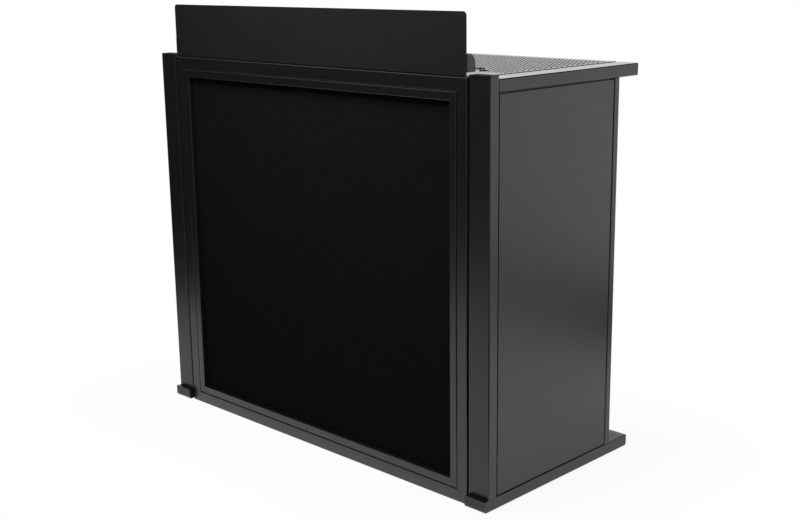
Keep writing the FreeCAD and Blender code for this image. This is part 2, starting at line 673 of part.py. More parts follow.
def make_scrim():
    """Makes the stretched scrim and the flat strip along its edge that sits in the scrim frame's groove."""
    inset = f"({BEAD_INSET} + sizes.groove_setback - sizes.scrim_margin)"
    cloth = doc.addObject("Part::Box", "scrim")
    cloth.setExpression("Length", f"2 * ({FRAME_HALF} - {inset})")
    cloth.setExpression("Width", "sizes.scrim_thickness")
    cloth.setExpression("Height", f"{FRAME_HEIGHT} - 2 * {inset}")
    place(cloth, f"{inset} - {FRAME_HALF}", BEAD_REAR, f"{FRAME_BOTTOM} + {inset}")
    keep(cloth, "scrim")

    thick = "(sizes.groove_width - 2 * sizes.strip_clearance)"
    deep = "(sizes.groove_depth - sizes.strip_clearance)"
    row = f"({BEAD_INSET} + sizes.groove_setback + sizes.strip_clearance)"
    across, front = f"({FRAME_HALF} - {row})", f"{BEAD_REAR} - {deep}"
    low, high = f"({FRAME_BOTTOM} + {row})", f"({FRAME_TOP} - {row})"
    upright_low = f"({low} + {thick} + sizes.strip_clearance)"
    upright_length = f"{high} - {low} - 2 * ({thick} + sizes.strip_clearance)"
    runs = {"bottom": (f"-{across}", low, f"2 * {across}", thick),
            "top": (f"-{across}", f"{high} - {thick}", f"2 * {across}", thick),
            "left": (f"-{across}", upright_low, thick, upright_length),
            "right": (f"{across} - {thick}", upright_low, thick, upright_length)}
    strips = []
    for side, (x, z, length, height) in runs.items():
        strip = doc.addObject("Part::Box", f"edge_strip_{side}")
        strip.setExpression("Length", length)
        strip.setExpression("Width", deep)
        strip.setExpression("Height", height)
        strips.append(place(strip, x, front, z))
    edge = doc.addObject("Part::Compound", "scrim_edge_strip")
    edge.Links = strips
    keep(edge, "scrim_edge_strip")


# Fascia

def tongue_places():
    """Returns the places of the fascia's tongues along X."""
    outer, gaps = f"({FASCIA_HALF} - sizes.tongue_inset)", FASCIA_TONGUES - 1
    return [f"{outer} * {2 * step - gaps} / {gaps}" for step in range(FASCIA_TONGUES)]


def make_fascia():
    """Makes the fascia sheet, folded back at its ends into two tabs, and its angle rail and tongues."""
    body = make_body("fascia_panel")
    front = start_sketch(body, "front", "XZ_Plane")
    half, height = FASCIA_HALF, "sizes.fascia_height"
    draw_outline(front, [(f"-{half}", "0"), (half, "0"), (half, height), (f"-{half}", height)])
    pad(body, front, "sizes.fascia_sheet", reverse=True)
    top = value(height)
    round_edges(body, "sizes.fascia_corner_radius",
                lambda middle, run: near(abs(run.y), 1) and near(middle.z, top))

    bend, thin = "sizes.tab_bend_radius", "sizes.fascia_sheet"
    tabs = start_sketch(body, "tabs", "XY_Plane", "sizes.tab_foot")
    for sign in ("", "-"):
        root, outer = f"{sign}({half} - {thin})", f"{sign}({half} + {bend})"
        inner = f"{sign}({half} + {bend} - {thin})"
        draw_outline(tabs, [(root, "0"), (outer, "0"), (outer, "sizes.tab_depth"),
                            (inner, "sizes.tab_depth"), (inner, thin), (root, thin)])
    pad(body, tabs, "sizes.tab_height")
    outer_x, inner_x = value(f"{half} + {bend}"), value(f"{half} + {bend} - {thin}")
    round_edges(body, bend, lambda middle, run: near(abs(run.z), 1)
                and near(abs(middle.x), outer_x) and near(middle.y, 0))
    sheet_back = value(thin)
    round_edges(body, f"{bend} - {thin}", lambda middle, run: near(abs(run.z), 1)
                and near(abs(middle.x), inner_x) and near(middle.y, sheet_back))
    tab_top, tab_back = value("sizes.tab_foot + sizes.tab_height"), value("sizes.tab_depth")
    round_edges(body, "sizes.tab_corner_radius", lambda middle, run: near(abs(run.x), 1)
                and near(middle.y, tab_back) and near(middle.z, tab_top))
    place(body, "0", FASCIA_FRONT, FASCIA_BOTTOM)
    keep(body, "fascia_panel")

    rail = make_body("fascia_angle")
    section = start_sketch(rail, "section", "YZ_Plane")
    deep, tall, wall = "sizes.angle_depth", "sizes.angle_height", "sizes.angle_thickness"
    draw_outline(section, [("0", "0"), (deep, "0"), (deep, wall), (wall, wall), (wall, tall), ("0", tall)])
    pad(rail, section, f"2 * ({FASCIA_HALF} - sizes.angle_inset)", both_ways=True)
    place(rail, "0", FASCIA_BACK, FRAME_TOP)
    keep(rail, "fascia_angle")

    tongue = make_body("fascia_tongue_master")
    outline = start_sketch(tongue, "outline", "XY_Plane")
    draw_rectangle(outline, "sizes.tongue_width", "sizes.tongue_thickness")
    pad(tongue, outline, "sizes.tongue_length", reverse=True)
    copies("fascia_tongues", tongue, [{"x": x, "y": TONGUE_MIDDLE, "z": FRAME_TOP}
                                      for x in tongue_places()])


# Deck

def plug_places():
    """Returns the places of the deck's rubber plugs, in a slanting row in each front corner."""
    places = []
    for step in range(PLUGS_PER_CORNER):
        x = f"({DECK_HALF} - sizes.plug_inset_x - {step} * sizes.plug_step_x)"
        y = f"({DECK_FRONT} + sizes.plug_inset_y + {step} * sizes.plug_step_y)"
        places += [(x, y), (f"-{x}", y)]
    return places


def hole_centres():
    """Returns the centres of the deck's perforations, in staggered rows clear of the plugs."""
    pitch, flats = value("sizes.hole_pitch"), value("sizes.hole_flats")
    row_step = pitch * math.sqrt(3) / 2
    half = value(f"{DECK_HALF} - sizes.field_side_margin - sizes.hole_flats / 2")
    low = value(f"{DECK_FRONT} + sizes.field_front_margin + sizes.hole_flats / 2")
    high = value(f"{HALF_DEPTH} - sizes.field_rear_margin - sizes.hole_flats / 2")
    rows = int((high - low) / row_step) + 1
    start = (low + high - (rows - 1) * row_step) / 2
    plugs = [Vector(value(x), value(y), 0) for x, y in plug_places()]
    room = value("sizes.plug_radius") + flats
    centres = []
    for row in range(rows):
        shift = pitch / 2 * (row % 2)
        columns = int((half - shift) / pitch)
        for column in range(-columns - row % 2, columns + 1):
            centre = Vector(column * pitch + shift, start + row * row_step, 0)
            if all((centre - plug).Length > room for plug in plugs):
                centres.append(centre)
    return centres


def make_deck_sheet():
    """Makes the perforated deck sheet.

    The perforation is drawn as a field of fewer, larger six-sided holes with a like open share.
    """
    half, front, rear = value(DECK_HALF), value(DECK_FRONT), value(HALF_DEPTH)
    corners = [Vector(-half, front, 0), Vector(half, front, 0), Vector(half, rear, 0), Vector(-half, rear, 0)]
    outer = Part.makePolygon(corners + corners[:1])
    corner_radius = value("sizes.hole_flats") / math.sqrt(3)
    cuts = []
    for centre in hole_centres():
        hexagon = [centre + Vector(math.sin(math.radians(60 * turn)), math.cos(math.radians(60 * turn)), 0)
                   * corner_radius for turn in range(6)]
        cuts.append(Part.makePolygon(hexagon + hexagon[:1]))
    hole_radius = value("sizes.plug_radius + sizes.plug_clearance")
    for x, y in plug_places():
        cuts.append(Part.Wire(Part.makeCircle(hole_radius, Vector(value(x), value(y), 0))))
    plate = Part.makeFace([outer] + cuts, "Part::FaceMakerBullseye")
    deck = doc.addObject("Part::Feature", "deck_sheet")
    deck.Shape = plate.extrude(Vector(0, 0, value("sizes.deck_sheet")))
    place(deck, "0", "0", DECK_UNDERSIDE)
    keep(deck, "deck_sheet")


def make_deck_fittings():
    """Makes the ribs and the rear edge angle under the deck sheet, and the plugs in its cable holes."""
    rib = make_body("deck_rib_master")
    section = start_sketch(rib, "section", "XZ_Plane")
    half, tall = "(sizes.rib_width / 2)", "sizes.rib_height"
    thin, brim = "sizes.rib_thickness", "(sizes.rib_width / 2 + sizes.rib_flange)"
    inside = f"({half} - {thin})"
    draw_outline(section, [(f"-{brim}", "0"), (f"-{inside}", "0"), (f"-{inside}", f"{thin} - {tall}"),
                           (inside, f"{thin} - {tall}"), (inside, "0"), (brim, "0"), (brim, f"-{thin}"),
                           (half, f"-{thin}"), (half, f"-{tall}"), (f"-{half}", f"-{tall}"),
                           (f"-{half}", f"-{thin}"), (f"-{brim}", f"-{thin}")])
    start = f"({FRONT_RAIL_MIDDLE} + sizes.cross_rail_width / 2 + sizes.rib_end_gap)"
    end = f"({REAR_RAIL_MIDDLE} - sizes.cross_rail_width / 2 - sizes.rib_end_gap)"
    pad(rib, section, f"{end} - {start}", reverse=True)
    inner_plug = f"{DECK_HALF} - sizes.plug_inset_x - {PLUGS_PER_CORNER - 1} * sizes.plug_step_x"
    outer = f"({inner_plug} - sizes.plug_radius - sizes.rib_plug_gap - {brim})"
    copies("deck_ribs", rib, [{"x": x, "y": start, "z": DECK_UNDERSIDE} for x in (f"-{outer}", "0", outer)])

    angle = make_body("deck_edge_angle")
    section = start_sketch(angle, "section", "YZ_Plane")
    wide, tall, thin = "sizes.edge_angle_width", "sizes.edge_angle_height", "sizes.edge_angle_thickness"
    draw_outline(section, [("0", "0"), (f"-{wide}", "0"), (f"-{wide}", f"-{thin}"),
                           (f"-{thin}", f"-{thin}"), (f"-{thin}", f"-{tall}"), ("0", f"-{tall}")])
    pad(angle, section, f"2 * {DECK_HALF}", both_ways=True)
    place(angle, "0", HALF_DEPTH, DECK_UNDERSIDE)
    keep(angle, "deck_edge_angle")

    plug = doc.addObject("Part::Cylinder", "deck_plug_master")
    plug.setExpression("Radius", "sizes.plug_radius")
    plug.setExpression("Height", "sizes.plug_length")
    copies("deck_plugs", plug, [{"x": x, "y": y, "z": "sizes.deck_height - sizes.plug_length"}
                                for x, y in plug_places()])


def make_deck_supports():
    """Makes the cross rails between the side frames and the ledges on the top rails."""
    rail_z = f"{DECK_UNDERSIDE} - {CROSS_RAIL_HEIGHT} / 2"
    hole = "sizes.stud_radius + sizes.stud_clearance"
    length = f"2 * {TUBE_INSIDE}"
    spots = [("sizes.stud_inset", "0"), (f"{length} - sizes.stud_inset", "0")]
    below = f"-{CROSS_RAIL_HEIGHT} / 2 - sizes.overrun"
    for name, middle in (("front_cross_rail", FRONT_RAIL_MIDDLE), ("rear_cross_rail", REAR_RAIL_MIDDLE)):
        rail = tube(name, "YZ_Plane", "sizes.cross_rail_width", CROSS_RAIL_HEIGHT, length)
        drill(rail, "studs", "XY_Plane", spots, hole, below, "sizes.tube_wall + 2 * sizes.overrun",
              reverse=True)
        keep(place(rail, f"-{TUBE_INSIDE}", middle, rail_z), name)

    ledge = make_body("deck_ledge")
    section = start_sketch(ledge, "section", "XZ_Plane")
    wide, tall, thin = "sizes.ledge_width", "sizes.ledge_height", "sizes.ledge_thickness"
    draw_outline(section, [("0", "0"), (f"-{wide}", "0"), (f"-{wide}", f"-{thin}"),
                           (f"-{thin}", f"-{thin}"), (f"-{thin}", f"-{tall}"), ("0", f"-{tall}")])
    start = f"({FRONT_RAIL_MIDDLE} + sizes.cross_rail_width / 2)"
    pad(ledge, section, f"{REAR_RAIL_MIDDLE} - sizes.cross_rail_width / 2 - {start}", reverse=True)
    place(ledge, TUBE_INSIDE, start, DECK_UNDERSIDE)
    mirrored(ledge, "deck_ledge")


# Cleats and hand knobs

def cleat(name, stud_from_end):
    """Makes a flat cleat plate on the XY plane, from X 0 outwards, with a hole for a knob's stud."""
    body = make_body(name)
    outline = start_sketch(body, "outline", "XY_Plane")
    half, length = "(sizes.cleat_width / 2)", "sizes.cleat_length"
    draw_outline(outline, [("0", f"-{half}"), (length, f"-{half}"), (length, half), ("0", half)])
    pad(body, outline, "sizes.cleat_thickness")
    drill(body, "stud", "XY_Plane", [(stud_from_end, "0")], "sizes.stud_radius + sizes.stud_clearance")
    return body


def make_cleats():
    """Makes the plates under the top rails and behind the front posts that the knobs clamp."""
    under_start = f"({TUBE_INSIDE} - sizes.cleat_overlap)"
    under = cleat("cross_rail_cleat_master", f"{CROSS_RAIL_STUD} - {under_start}")
    mirrored_copies("cross_rail_cleats", under, [
        {"x": under_start, "y": FRONT_RAIL_MIDDLE, "z": KNOB_SEAT_UNDER},
        {"x": under_start, "y": REAR_RAIL_MIDDLE, "z": KNOB_SEAT_UNDER}])

    behind_start = f"({FRAME_HALF} - sizes.frame_face)"
    behind = cleat("frame_cleat_master", f"{FRAME_STUD} - {behind_start}")
    upright = {"y": KNOB_SEAT_BEHIND, "axis": Vector(1, 0, 0), "angle": 90}
    mirrored_copies("frame_cleats", behind, [
        {"x": behind_start, "z": f"{FRAME_MIDDLE} - sizes.cleat_spread / 2", **upright},
        {"x": behind_start, "z": f"{FRAME_MIDDLE} + sizes.cleat_spread / 2", **upright}])


def knob_outline():
    """Returns the outline of a knob's head: lobes with a flat tip, and a waist between them."""
    turn = 360 / KNOB_LOBES
    points = []
    for lobe in range(KNOB_LOBES):
        for share, radius in ((-KNOB_LOBE_SHARE / 2, "sizes.knob_radius"),
                              (KNOB_LOBE_SHARE / 2, "sizes.knob_radius"),
                              (1 / 2, "sizes.knob_waist_radius")):
            angle = turn * (lobe + share)
            points.append((f"{radius} * cos({angle})", f"{radius} * sin({angle})"))
    return points


def knob():
    """Makes a lobed hand knob: its seat is at Z 0, with the stud above it and the head below."""
    body = make_body("knob_master")
    boss = start_sketch(body, "boss", "XY_Plane")
    draw_outline(boss, [(f"sizes.boss_radius * cos({60 * turn})", f"sizes.boss_radius * sin({60 * turn})")
                        for turn in range(6)])
    pad(body, boss, "sizes.boss_height", reverse=True)
    head = start_sketch(body, "head", "XY_Plane", "-sizes.boss_height")
    draw_outline(head, knob_outline())
    pad(body, head, "sizes.knob_height", reverse=True)
    stud = start_sketch(body, "stud", "XY_Plane")
    draw_circle(stud, "0", "0", "sizes.stud_radius")
    pad(body, stud, "sizes.stud_length")
    return body


def make_knobs():
    """Makes the hand knobs: four under the cross rails' ends and four behind the front frame."""
    master = knob()
    forward = {"axis": Vector(1, 0, 0), "angle": 90}
    for side, sign in (("left", "-"), ("right", "")):
        for end, middle in (("front", FRONT_RAIL_MIDDLE), ("rear", REAR_RAIL_MIDDLE)):
            copies(f"deck_knob_{end}_{side}", master,
                   [{"x": f"{sign}{CROSS_RAIL_STUD}", "y": middle, "z": KNOB_SEAT_UNDER}])
        for level, offset in (("lower", "-"), ("upper", "+")):
            copies(f"frame_knob_{level}_{side}", master,
                   [{"x": f"{sign}{FRAME_STUD}", "y": KNOB_SEAT_BEHIND,
                     "z": f"{FRAME_MIDDLE} {offset} sizes.cleat_spread / 2", **forward}])


def write_parts():
    """Checks every object and writes each sub-part to its own file."""
    doc.recompute()
    for item in doc.Objects:
        if "Invalid" in item.State or "Error" in item.State:
            raise ValueError(f"{item.Name} failed: {item.State}")
    for item in subparts:
        if item.Shape.isNull() or not item.Shape.isValid():
            raise ValueError(f"{item.Label} has no valid shape")
    os.makedirs("parts", exist_ok=True)
    for item in subparts:
        item.Shape.exportStep(f"parts/{item.Label}.step")


make_side_frames()
make_caps_and_pads()
make_side_panels()
make_front_frame()
make_corner_keys()
make_magnets()
make_scrim_frame()
make_scrim()
make_fascia()
make_deck_sheet()
make_deck_fittings()
make_deck_supports()
make_cleats()
make_knobs()
write_parts()
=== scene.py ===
"""Dresses a free-standing booth for a disc jockey: finishes, cloth, perforated deck and small fittings.

The booth stands on Z 0 with its front towards -Y. All sizes are in metres.
"""
import json
import logging
import math
from contextlib import contextmanager
from dataclasses import dataclass, field
from enum import Enum
from typing import Any, Callable, Iterable, Iterator

import bmesh
import bpy
from bmesh.types import BMEdge, BMFace, BMVert
from bpy.types import Material, Node, NodeSocket, NodeTree, Object, World
from mathutils import Euler, Matrix, Vector

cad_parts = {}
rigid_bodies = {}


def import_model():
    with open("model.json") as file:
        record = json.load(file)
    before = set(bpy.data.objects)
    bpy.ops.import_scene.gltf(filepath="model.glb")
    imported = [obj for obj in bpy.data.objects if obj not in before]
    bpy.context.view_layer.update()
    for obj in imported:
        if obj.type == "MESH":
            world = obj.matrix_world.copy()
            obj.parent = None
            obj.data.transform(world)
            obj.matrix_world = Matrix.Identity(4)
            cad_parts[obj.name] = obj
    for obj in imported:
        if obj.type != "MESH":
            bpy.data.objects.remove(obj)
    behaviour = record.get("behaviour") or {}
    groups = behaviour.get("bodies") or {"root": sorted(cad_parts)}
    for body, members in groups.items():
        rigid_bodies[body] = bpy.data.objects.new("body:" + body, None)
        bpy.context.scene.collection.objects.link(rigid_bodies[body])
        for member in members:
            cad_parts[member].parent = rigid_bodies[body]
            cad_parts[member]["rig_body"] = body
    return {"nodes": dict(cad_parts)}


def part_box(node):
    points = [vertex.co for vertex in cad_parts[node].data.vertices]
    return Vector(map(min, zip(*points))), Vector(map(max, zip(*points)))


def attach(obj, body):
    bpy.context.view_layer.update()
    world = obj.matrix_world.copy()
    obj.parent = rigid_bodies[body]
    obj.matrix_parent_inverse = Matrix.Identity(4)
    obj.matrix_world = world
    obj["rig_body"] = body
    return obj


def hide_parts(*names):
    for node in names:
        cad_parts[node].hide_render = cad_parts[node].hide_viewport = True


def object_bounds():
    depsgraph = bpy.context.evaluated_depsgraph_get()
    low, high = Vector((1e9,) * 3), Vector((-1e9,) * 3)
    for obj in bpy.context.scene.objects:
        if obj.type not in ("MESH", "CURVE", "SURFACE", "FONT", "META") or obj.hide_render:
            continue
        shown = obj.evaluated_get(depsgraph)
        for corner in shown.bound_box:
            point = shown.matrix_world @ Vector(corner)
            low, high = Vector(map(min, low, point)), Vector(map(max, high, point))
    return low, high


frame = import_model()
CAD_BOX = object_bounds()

LOG = logging.getLogger("booth")
MM = 0.001
# Points nearer to each other than this count as one.
TOUCH = 0.02 * MM
# The numbers of the axes.
X = 0
Y = 1
Z = 2
# The Z of a normal above which a face counts as level.
LEVEL = 0.9
# Faces that meet at less than the first angle become one. Edges above the second are sharp.
FLAT_DEGREES = 0.5
SHARP_DEGREES = 35.0
# The numbers of a mix node's two colour inputs and of its colour output.
FIRST_COLOUR = 6
SECOND_COLOUR = 7
MIXED_COLOUR = 2
# How often a wave texture repeats in one unit of its scale.
WAVES_PER_UNIT = 3.18
NODES: dict[str, Object] = frame["nodes"]


class Shape(Enum):
    """The primitives that pieces are started from."""

    PLANE = "primitive_plane_add"
    GRID = "primitive_grid_add"
    CIRCLE = "primitive_circle_add"
    CYLINDER = "primitive_cylinder_add"


class Element(Enum):
    """What is picked in edit mode, with Blender's select mode for it."""

    VERTS = (True, False, False)
    EDGES = (False, True, False)
    FACES = (False, False, True)


class Facing(Enum):
    """The way that a small fitting's head faces, as the turn of a master that faces +Z."""

    UP = (0.0, 0.0, 0.0)
    DOWN = (math.pi, 0.0, 0.0)
    BACK = (-math.pi / 2, 0.0, 0.0)
    FRONT = (math.pi / 2, 0.0, 0.0)
    RIGHT = (0.0, math.pi / 2, 0.0)
    LEFT = (0.0, -math.pi / 2, 0.0)


class Side(Enum):
    """The booth's two sides, with the sign of their X."""

    LEFT = -1
    RIGHT = 1

    @property
    def word(self) -> str:
        """The side's word in the names of nodes."""
        return self.name.lower()


# Three numbers along X, Y and Z, and the place of a small fitting with the way that it faces.
Triple = tuple[float, float, float]
Seat = tuple[Vector, Facing]


# Modelling by hand

def activate(piece: Object) -> None:
    """Makes one piece the only selected and active one."""
    bpy.ops.object.select_all(action="DESELECT")
    piece.select_set(True)
    bpy.context.view_layer.objects.active = piece


def add_primitive(shape: Shape, name: str, **settings: Any) -> Object:
    """Adds a primitive to start a piece from.

    Args:
        shape: The kind of primitive.
        name: The new piece's name.
        **settings: The operator's own sizes and place.

    Returns:
        The new object.
    """
    bpy.ops.object.select_all(action="DESELECT")
    getattr(bpy.ops.mesh, shape.value)(**settings)
    piece = bpy.context.object
    piece.name = name
    piece.data.name = name
    return piece


@contextmanager
def editing(piece: Object) -> Iterator[None]:
    """Opens a piece in edit mode with all of it selected, and closes it again."""
    activate(piece)
    bpy.ops.object.mode_set(mode="EDIT")
    bpy.ops.mesh.select_all(action="SELECT")
    yield
    bpy.ops.object.mode_set(mode="OBJECT")


def pick(piece: Object, element: Element, test: Callable[[Any], bool]) -> None:
    """Selects the parts of a piece in edit mode that pass a test, and nothing else.

    Args:
        piece: The piece that is being edited.
        element: Whether vertices, edges or faces are picked.
        test: Says whether one of them is picked.
    """
    bpy.context.tool_settings.mesh_select_mode = element.value
    bpy.ops.mesh.select_all(action="DESELECT")
    cage = bmesh.from_edit_mesh(piece.data)
    cage.normal_update()
    found = [part for part in getattr(cage, element.name.lower()) if test(part)]
    for part in found:
        part.select_set(True)
    cage.select_flush_mode()
    bmesh.update_edit_mesh(piece.data)


def lies_at(edge: BMEdge, axis: int, place: float) -> bool:
    """Says whether both ends of an edge lie at one place on the axis of that number."""
    return all(abs(vert.co[axis] - place) < TOUCH for vert in edge.verts)


def merge_touching() -> None:
    """Merges the points that touch in the piece that is being edited."""
    bpy.ops.mesh.select_all(action="SELECT")
    bpy.ops.mesh.remove_doubles(threshold=TOUCH)


def bevel(width: float, segments: int) -> None:
    """Bevels the picked edges of the piece that is being edited."""
    bpy.ops.mesh.bevel(offset=width, segments=segments, affect="EDGES")


def push(step: Triple) -> None:
    """Extrudes the picked faces of the piece that is being edited by a step."""
    bpy.ops.mesh.extrude_region_move(TRANSFORM_OT_translate={"value": step})


def modify(piece: Object, kind: str, **settings: Any) -> None:
    """Adds a modifier to a piece and applies it.

    Args:
        piece: The piece to change.
        kind: Blender's name for the modifier.
        **settings: The modifier's own settings.
    """
    activate(piece)
    modifier = piece.modifiers.new(kind.lower(), kind)
    for setting, worth in settings.items():
        setattr(modifier, setting, worth)
    bpy.ops.object.modifier_apply(modifier=modifier.name)


def settle(piece: Object) -> Object:
    """Puts a piece's place into its mesh, so that its object sits at the origin, and gives it back."""
    activate(piece)
    bpy.ops.object.transform_apply(location=True, rotation=True, scale=True)
    return piece


def turned(name: str, sides: int, radius: float, low: float, high: float) -> Object:
    """Starts a round piece about the Z axis between two heights."""
    return settle(add_primitive(Shape.CYLINDER, name, vertices=sides, radius=radius, depth=high - low,
                                location=(0, 0, (low + high) / 2)))


def copy_of(piece: Object, name: str, place: Iterable[float] = (0, 0, 0),
            facing: Facing = Facing.UP) -> Object:
    """Copies a piece with a mesh of its own, turns it and puts it in place.

    Args:
        piece: The piece to copy.
        name: The copy's name.
        place: Where the copy's origin goes.
        facing: The way that the copy faces.

    Returns:
        The copy, settled.
    """
    twin = bpy.data.objects.new(name, piece.data.copy())
    twin.data.name = name
    bpy.context.scene.collection.objects.link(twin)
    twin.location = Vector(place)
    twin.rotation_euler = Euler(facing.value)
    return settle(twin)


def joined(pieces: list[Object], name: str) -> Object:
    """Joins pieces into one object.

    Args:
        pieces: The pieces, which are used up.
        name: The name of the object that they become.

    Returns:
        The joined object.
    """
    activate(pieces[0])
    for piece in pieces[1:]:
        piece.select_set(True)
    bpy.ops.object.join()
    pieces[0].name = name
    pieces[0].data.name = name
    return pieces[0]


def smooth(piece: Object, degrees: float = SHARP_DEGREES) -> Object:
    """Shades a piece smooth, except at edges above an angle, and gives it back."""
    activate(piece)
    bpy.ops.object.shade_smooth_by_angle(angle=math.radians(degrees))
    return piece


def discard(*pieces: Object) -> None:
    """Removes masters that have been copied."""
    for piece in pieces:
        bpy.data.objects.remove(piece)


def solid_boxes(node: str) -> list[tuple[Vector, Vector]]:
    """Finds where each separate solid of a node is.

    Args:
        node: The node's name.

    Returns:
        The lowest and highest corner of each solid.
    """
    cage = bmesh.new()
    cage.from_mesh(NODES[node].data)
    bmesh.ops.remove_doubles(cage, verts=cage.verts, dist=TOUCH)
    left = set(cage.verts)
    boxes = []
    while left:
        group = [left.pop()]
        for vert in group:
            near = {edge.other_vert(vert) for edge in vert.link_edges} & left
            left -= near
            group.extend(near)
        columns = list(zip(*(vert.co for vert in group)))
        boxes.append((Vector(map(min, columns)), Vector(map(max, columns))))
    cage.free()
    return sorted(boxes, key=lambda box: tuple(box[0]))


# Finishes

def linear(code: str) -> tuple[float, float, float, float]:
    """Turns an sRGB hex colour, such as "#1a2b3c", into the linear one that a socket takes."""
    parts = [int(code[i:i + 2], 16) / 255 for i in (1, 3, 5)]
    red, green, blue = [c / 12.92 if c <= 0.04045 else ((c + 0.055) / 1.055) ** 2.4 for c in parts]
    return red, green, blue, 1.0


def per_metre(millimetres: float) -> float:
    """Gives the scale of a pattern whose marks are so many millimetres apart."""
    return 1 / (millimetres * MM)


def empty_tree(block: Material | World) -> NodeTree:
    """Gives the node tree of a material or a world, emptied."""
    block.use_nodes = True
    block.node_tree.nodes.clear()
    return block.node_tree


def add_node(tree: NodeTree, kind: str, inputs: dict[Any, Any] | None = None,
             **settings: Any) -> Node:
    """Adds a node with its settings, values and links.

    Args:
        tree: The node tree to add it to.
        kind: The node's type, without the words in front that all shader nodes share.
        inputs: For each named or numbered input a value, the socket that it is linked from, or a node
            that gives it its first output.
        **settings: The node's own settings.

    Returns:
        The new node.
    """
    node = tree.nodes.new("ShaderNode" + kind)
    for setting, worth in settings.items():
        setattr(node, setting, worth)
    for socket, worth in (inputs or {}).items():
        if isinstance(worth, Node):
            worth = worth.outputs[0]
        if isinstance(worth, NodeSocket):
            tree.links.new(worth, node.inputs[socket])
        else:
            node.inputs[socket].default_value = worth
    return node


@dataclass(frozen=True)
class Finish:
    """A finish: the name of the real one, its slot in the record, and what all finishes share.

    The colour drifts slowly between two tones over the drift's length. The roughness wavers by its
    spread, and the relief is a bump of its depth, both at the grain's size in millimetres.
    """

    name: str
    slot: str
    tone: str
    second_tone: str
    roughness: float
    drift_mm: float = 90.0
    grain_mm: float = 1.6
    roughness_spread: float = 0.05
    relief_mm: float = 0.02
    ior: float = 1.5
    metallic: float = 0.0
    stretch: Triple = (1.0, 1.0, 1.0)

    def material(self) -> Material:
        """Gives the finish's material, and makes it the first time."""
        made = bpy.data.materials.get(self.name)
        if made:
            return made
        made = bpy.data.materials.new(self.name)
        tree = empty_tree(made)
        spot = add_node(tree, "TexCoord").outputs["Object"]
        place = add_node(tree, "Mapping", {"Vector": spot, "Scale": self.stretch})
        share, gloss, height = self.draw(tree, place)
        tone = add_node(tree, "Mix", {"Factor": share, FIRST_COLOUR: linear(self.tone),
                                      SECOND_COLOUR: linear(self.second_tone)}, data_type="RGBA")
        relief = add_node(tree, "Bump", {"Height": height, "Strength": 1.0,
                                         "Distance": self.relief_mm * MM})
        shader = add_node(tree, "BsdfPrincipled", {
            "Base Color": tone.outputs[MIXED_COLOUR], "Roughness": gloss, "Normal": relief,
            "Metallic": self.metallic, "IOR": self.ior})
        add_node(tree, "OutputMaterial", {"Surface": shader})
        return made

    def draw(self, tree: NodeTree, place: Node) -> tuple[Node, Node | float, Node]:
        """Draws the drift of the colour, the waver of the gloss and the grain.

        Args:
            tree: The material's node tree.
            place: The point on the piece.

        Returns:
            The share of the second tone, the roughness, and the height of the relief.
        """
        drift, grain = [add_node(tree, "TexNoise", {"Vector": place, "Scale": scale, "Detail": detail})
                        for scale, detail in ((per_metre(self.drift_mm), 3.0),
                                              (per_metre(self.grain_mm), 2.0))]
        low, high = self.roughness - self.roughness_spread, self.roughness + self.roughness_spread
        gloss = add_node(tree, "MapRange", {"Value": grain, "To Min": low, "To Max": high})
        return drift, gloss, grain


@dataclass(frozen=True)
class ClothFinish(Finish):
    """A woven cloth: threads both ways, and soft upright streaks where the knit was drawn tight."""

    thread_mm: float = 2.0
    streak_mm: float = 6.0
    streak_length_mm: float = 30.0
    streak_low: float = 0.35
    streak_high: float = 0.7

    def draw(self, tree: NodeTree, place: Node) -> tuple[Node, Node | float, Node]:
        """Draws the streaks as a change of tone and the threads as relief, evenly dull."""
        wide, tall = per_metre(self.streak_mm), per_metre(self.streak_length_mm)
        upright = add_node(tree, "Mapping", {"Vector": place, "Scale": (wide, wide, tall)})
        streak = add_node(tree, "TexNoise", {"Vector": upright, "Scale": 1.0, "Detail": 4.0})
        sharper = add_node(tree, "MapRange", {"Value": streak, "From Min": self.streak_low,
                                              "From Max": self.streak_high})
        count = per_metre(self.thread_mm) / WAVES_PER_UNIT
        across, along = [add_node(tree, "TexWave", {"Vector": place, "Scale": count}, bands_direction=way)
                         for way in ("X", "Z")]
        weave = add_node(tree, "Math", {0: across.outputs["Fac"], 1: along.outputs["Fac"]},
                         operation="MAXIMUM")
        return sharper, self.roughness, weave


# Satin black polyester powder, baked on steel: nearly black, with a soft even gloss that shows the
# light around it, and the faint orange peel of powder that has flowed out.
STEEL_COAT = Finish("satin_black_powder_coat", "powder_coated_steel", "#0b0b0c", "#0e0e0f", 0.34,
                    grain_mm=2.4, relief_mm=0.012, ior=1.64)
# The same powder on the top rails, which hands and cases have rubbed smoother.
RAIL_COAT = Finish("satin_black_powder_coat_rubbed", "powder_coated_steel", "#0e0e0f", "#111112", 0.14,
                   grain_mm=2.4, roughness_spread=0.03, relief_mm=0.008, ior=1.57)
# The same powder on the flat panels, where its peel is broader and the gloss is a little duller.
PANEL_COAT = Finish("satin_black_powder_coat_panel", "powder_coated_steel", "#121213", "#161617", 0.34,
                    drift_mm=160.0, grain_mm=2.8, relief_mm=0.012, ior=1.61)
# The same powder on punched sheet: the rims of the holes break its gloss.
DECK_COAT = Finish("satin_black_powder_coat_sheet", "powder_coated_deck", "#121213", "#171718", 0.2,
                   drift_mm=60.0, grain_mm=2.0, relief_mm=0.008, ior=1.64)
# Powder on extruded aluminium: darker than on the steel, with a finer peel and a little more gloss.
FRAME_COAT = Finish("satin_black_coated_extrusion", "coated_aluminium", "#0a0a0b", "#0d0d0e", 0.3,
                    drift_mm=120.0, grain_mm=2.0, relief_mm=0.010, ior=1.72)
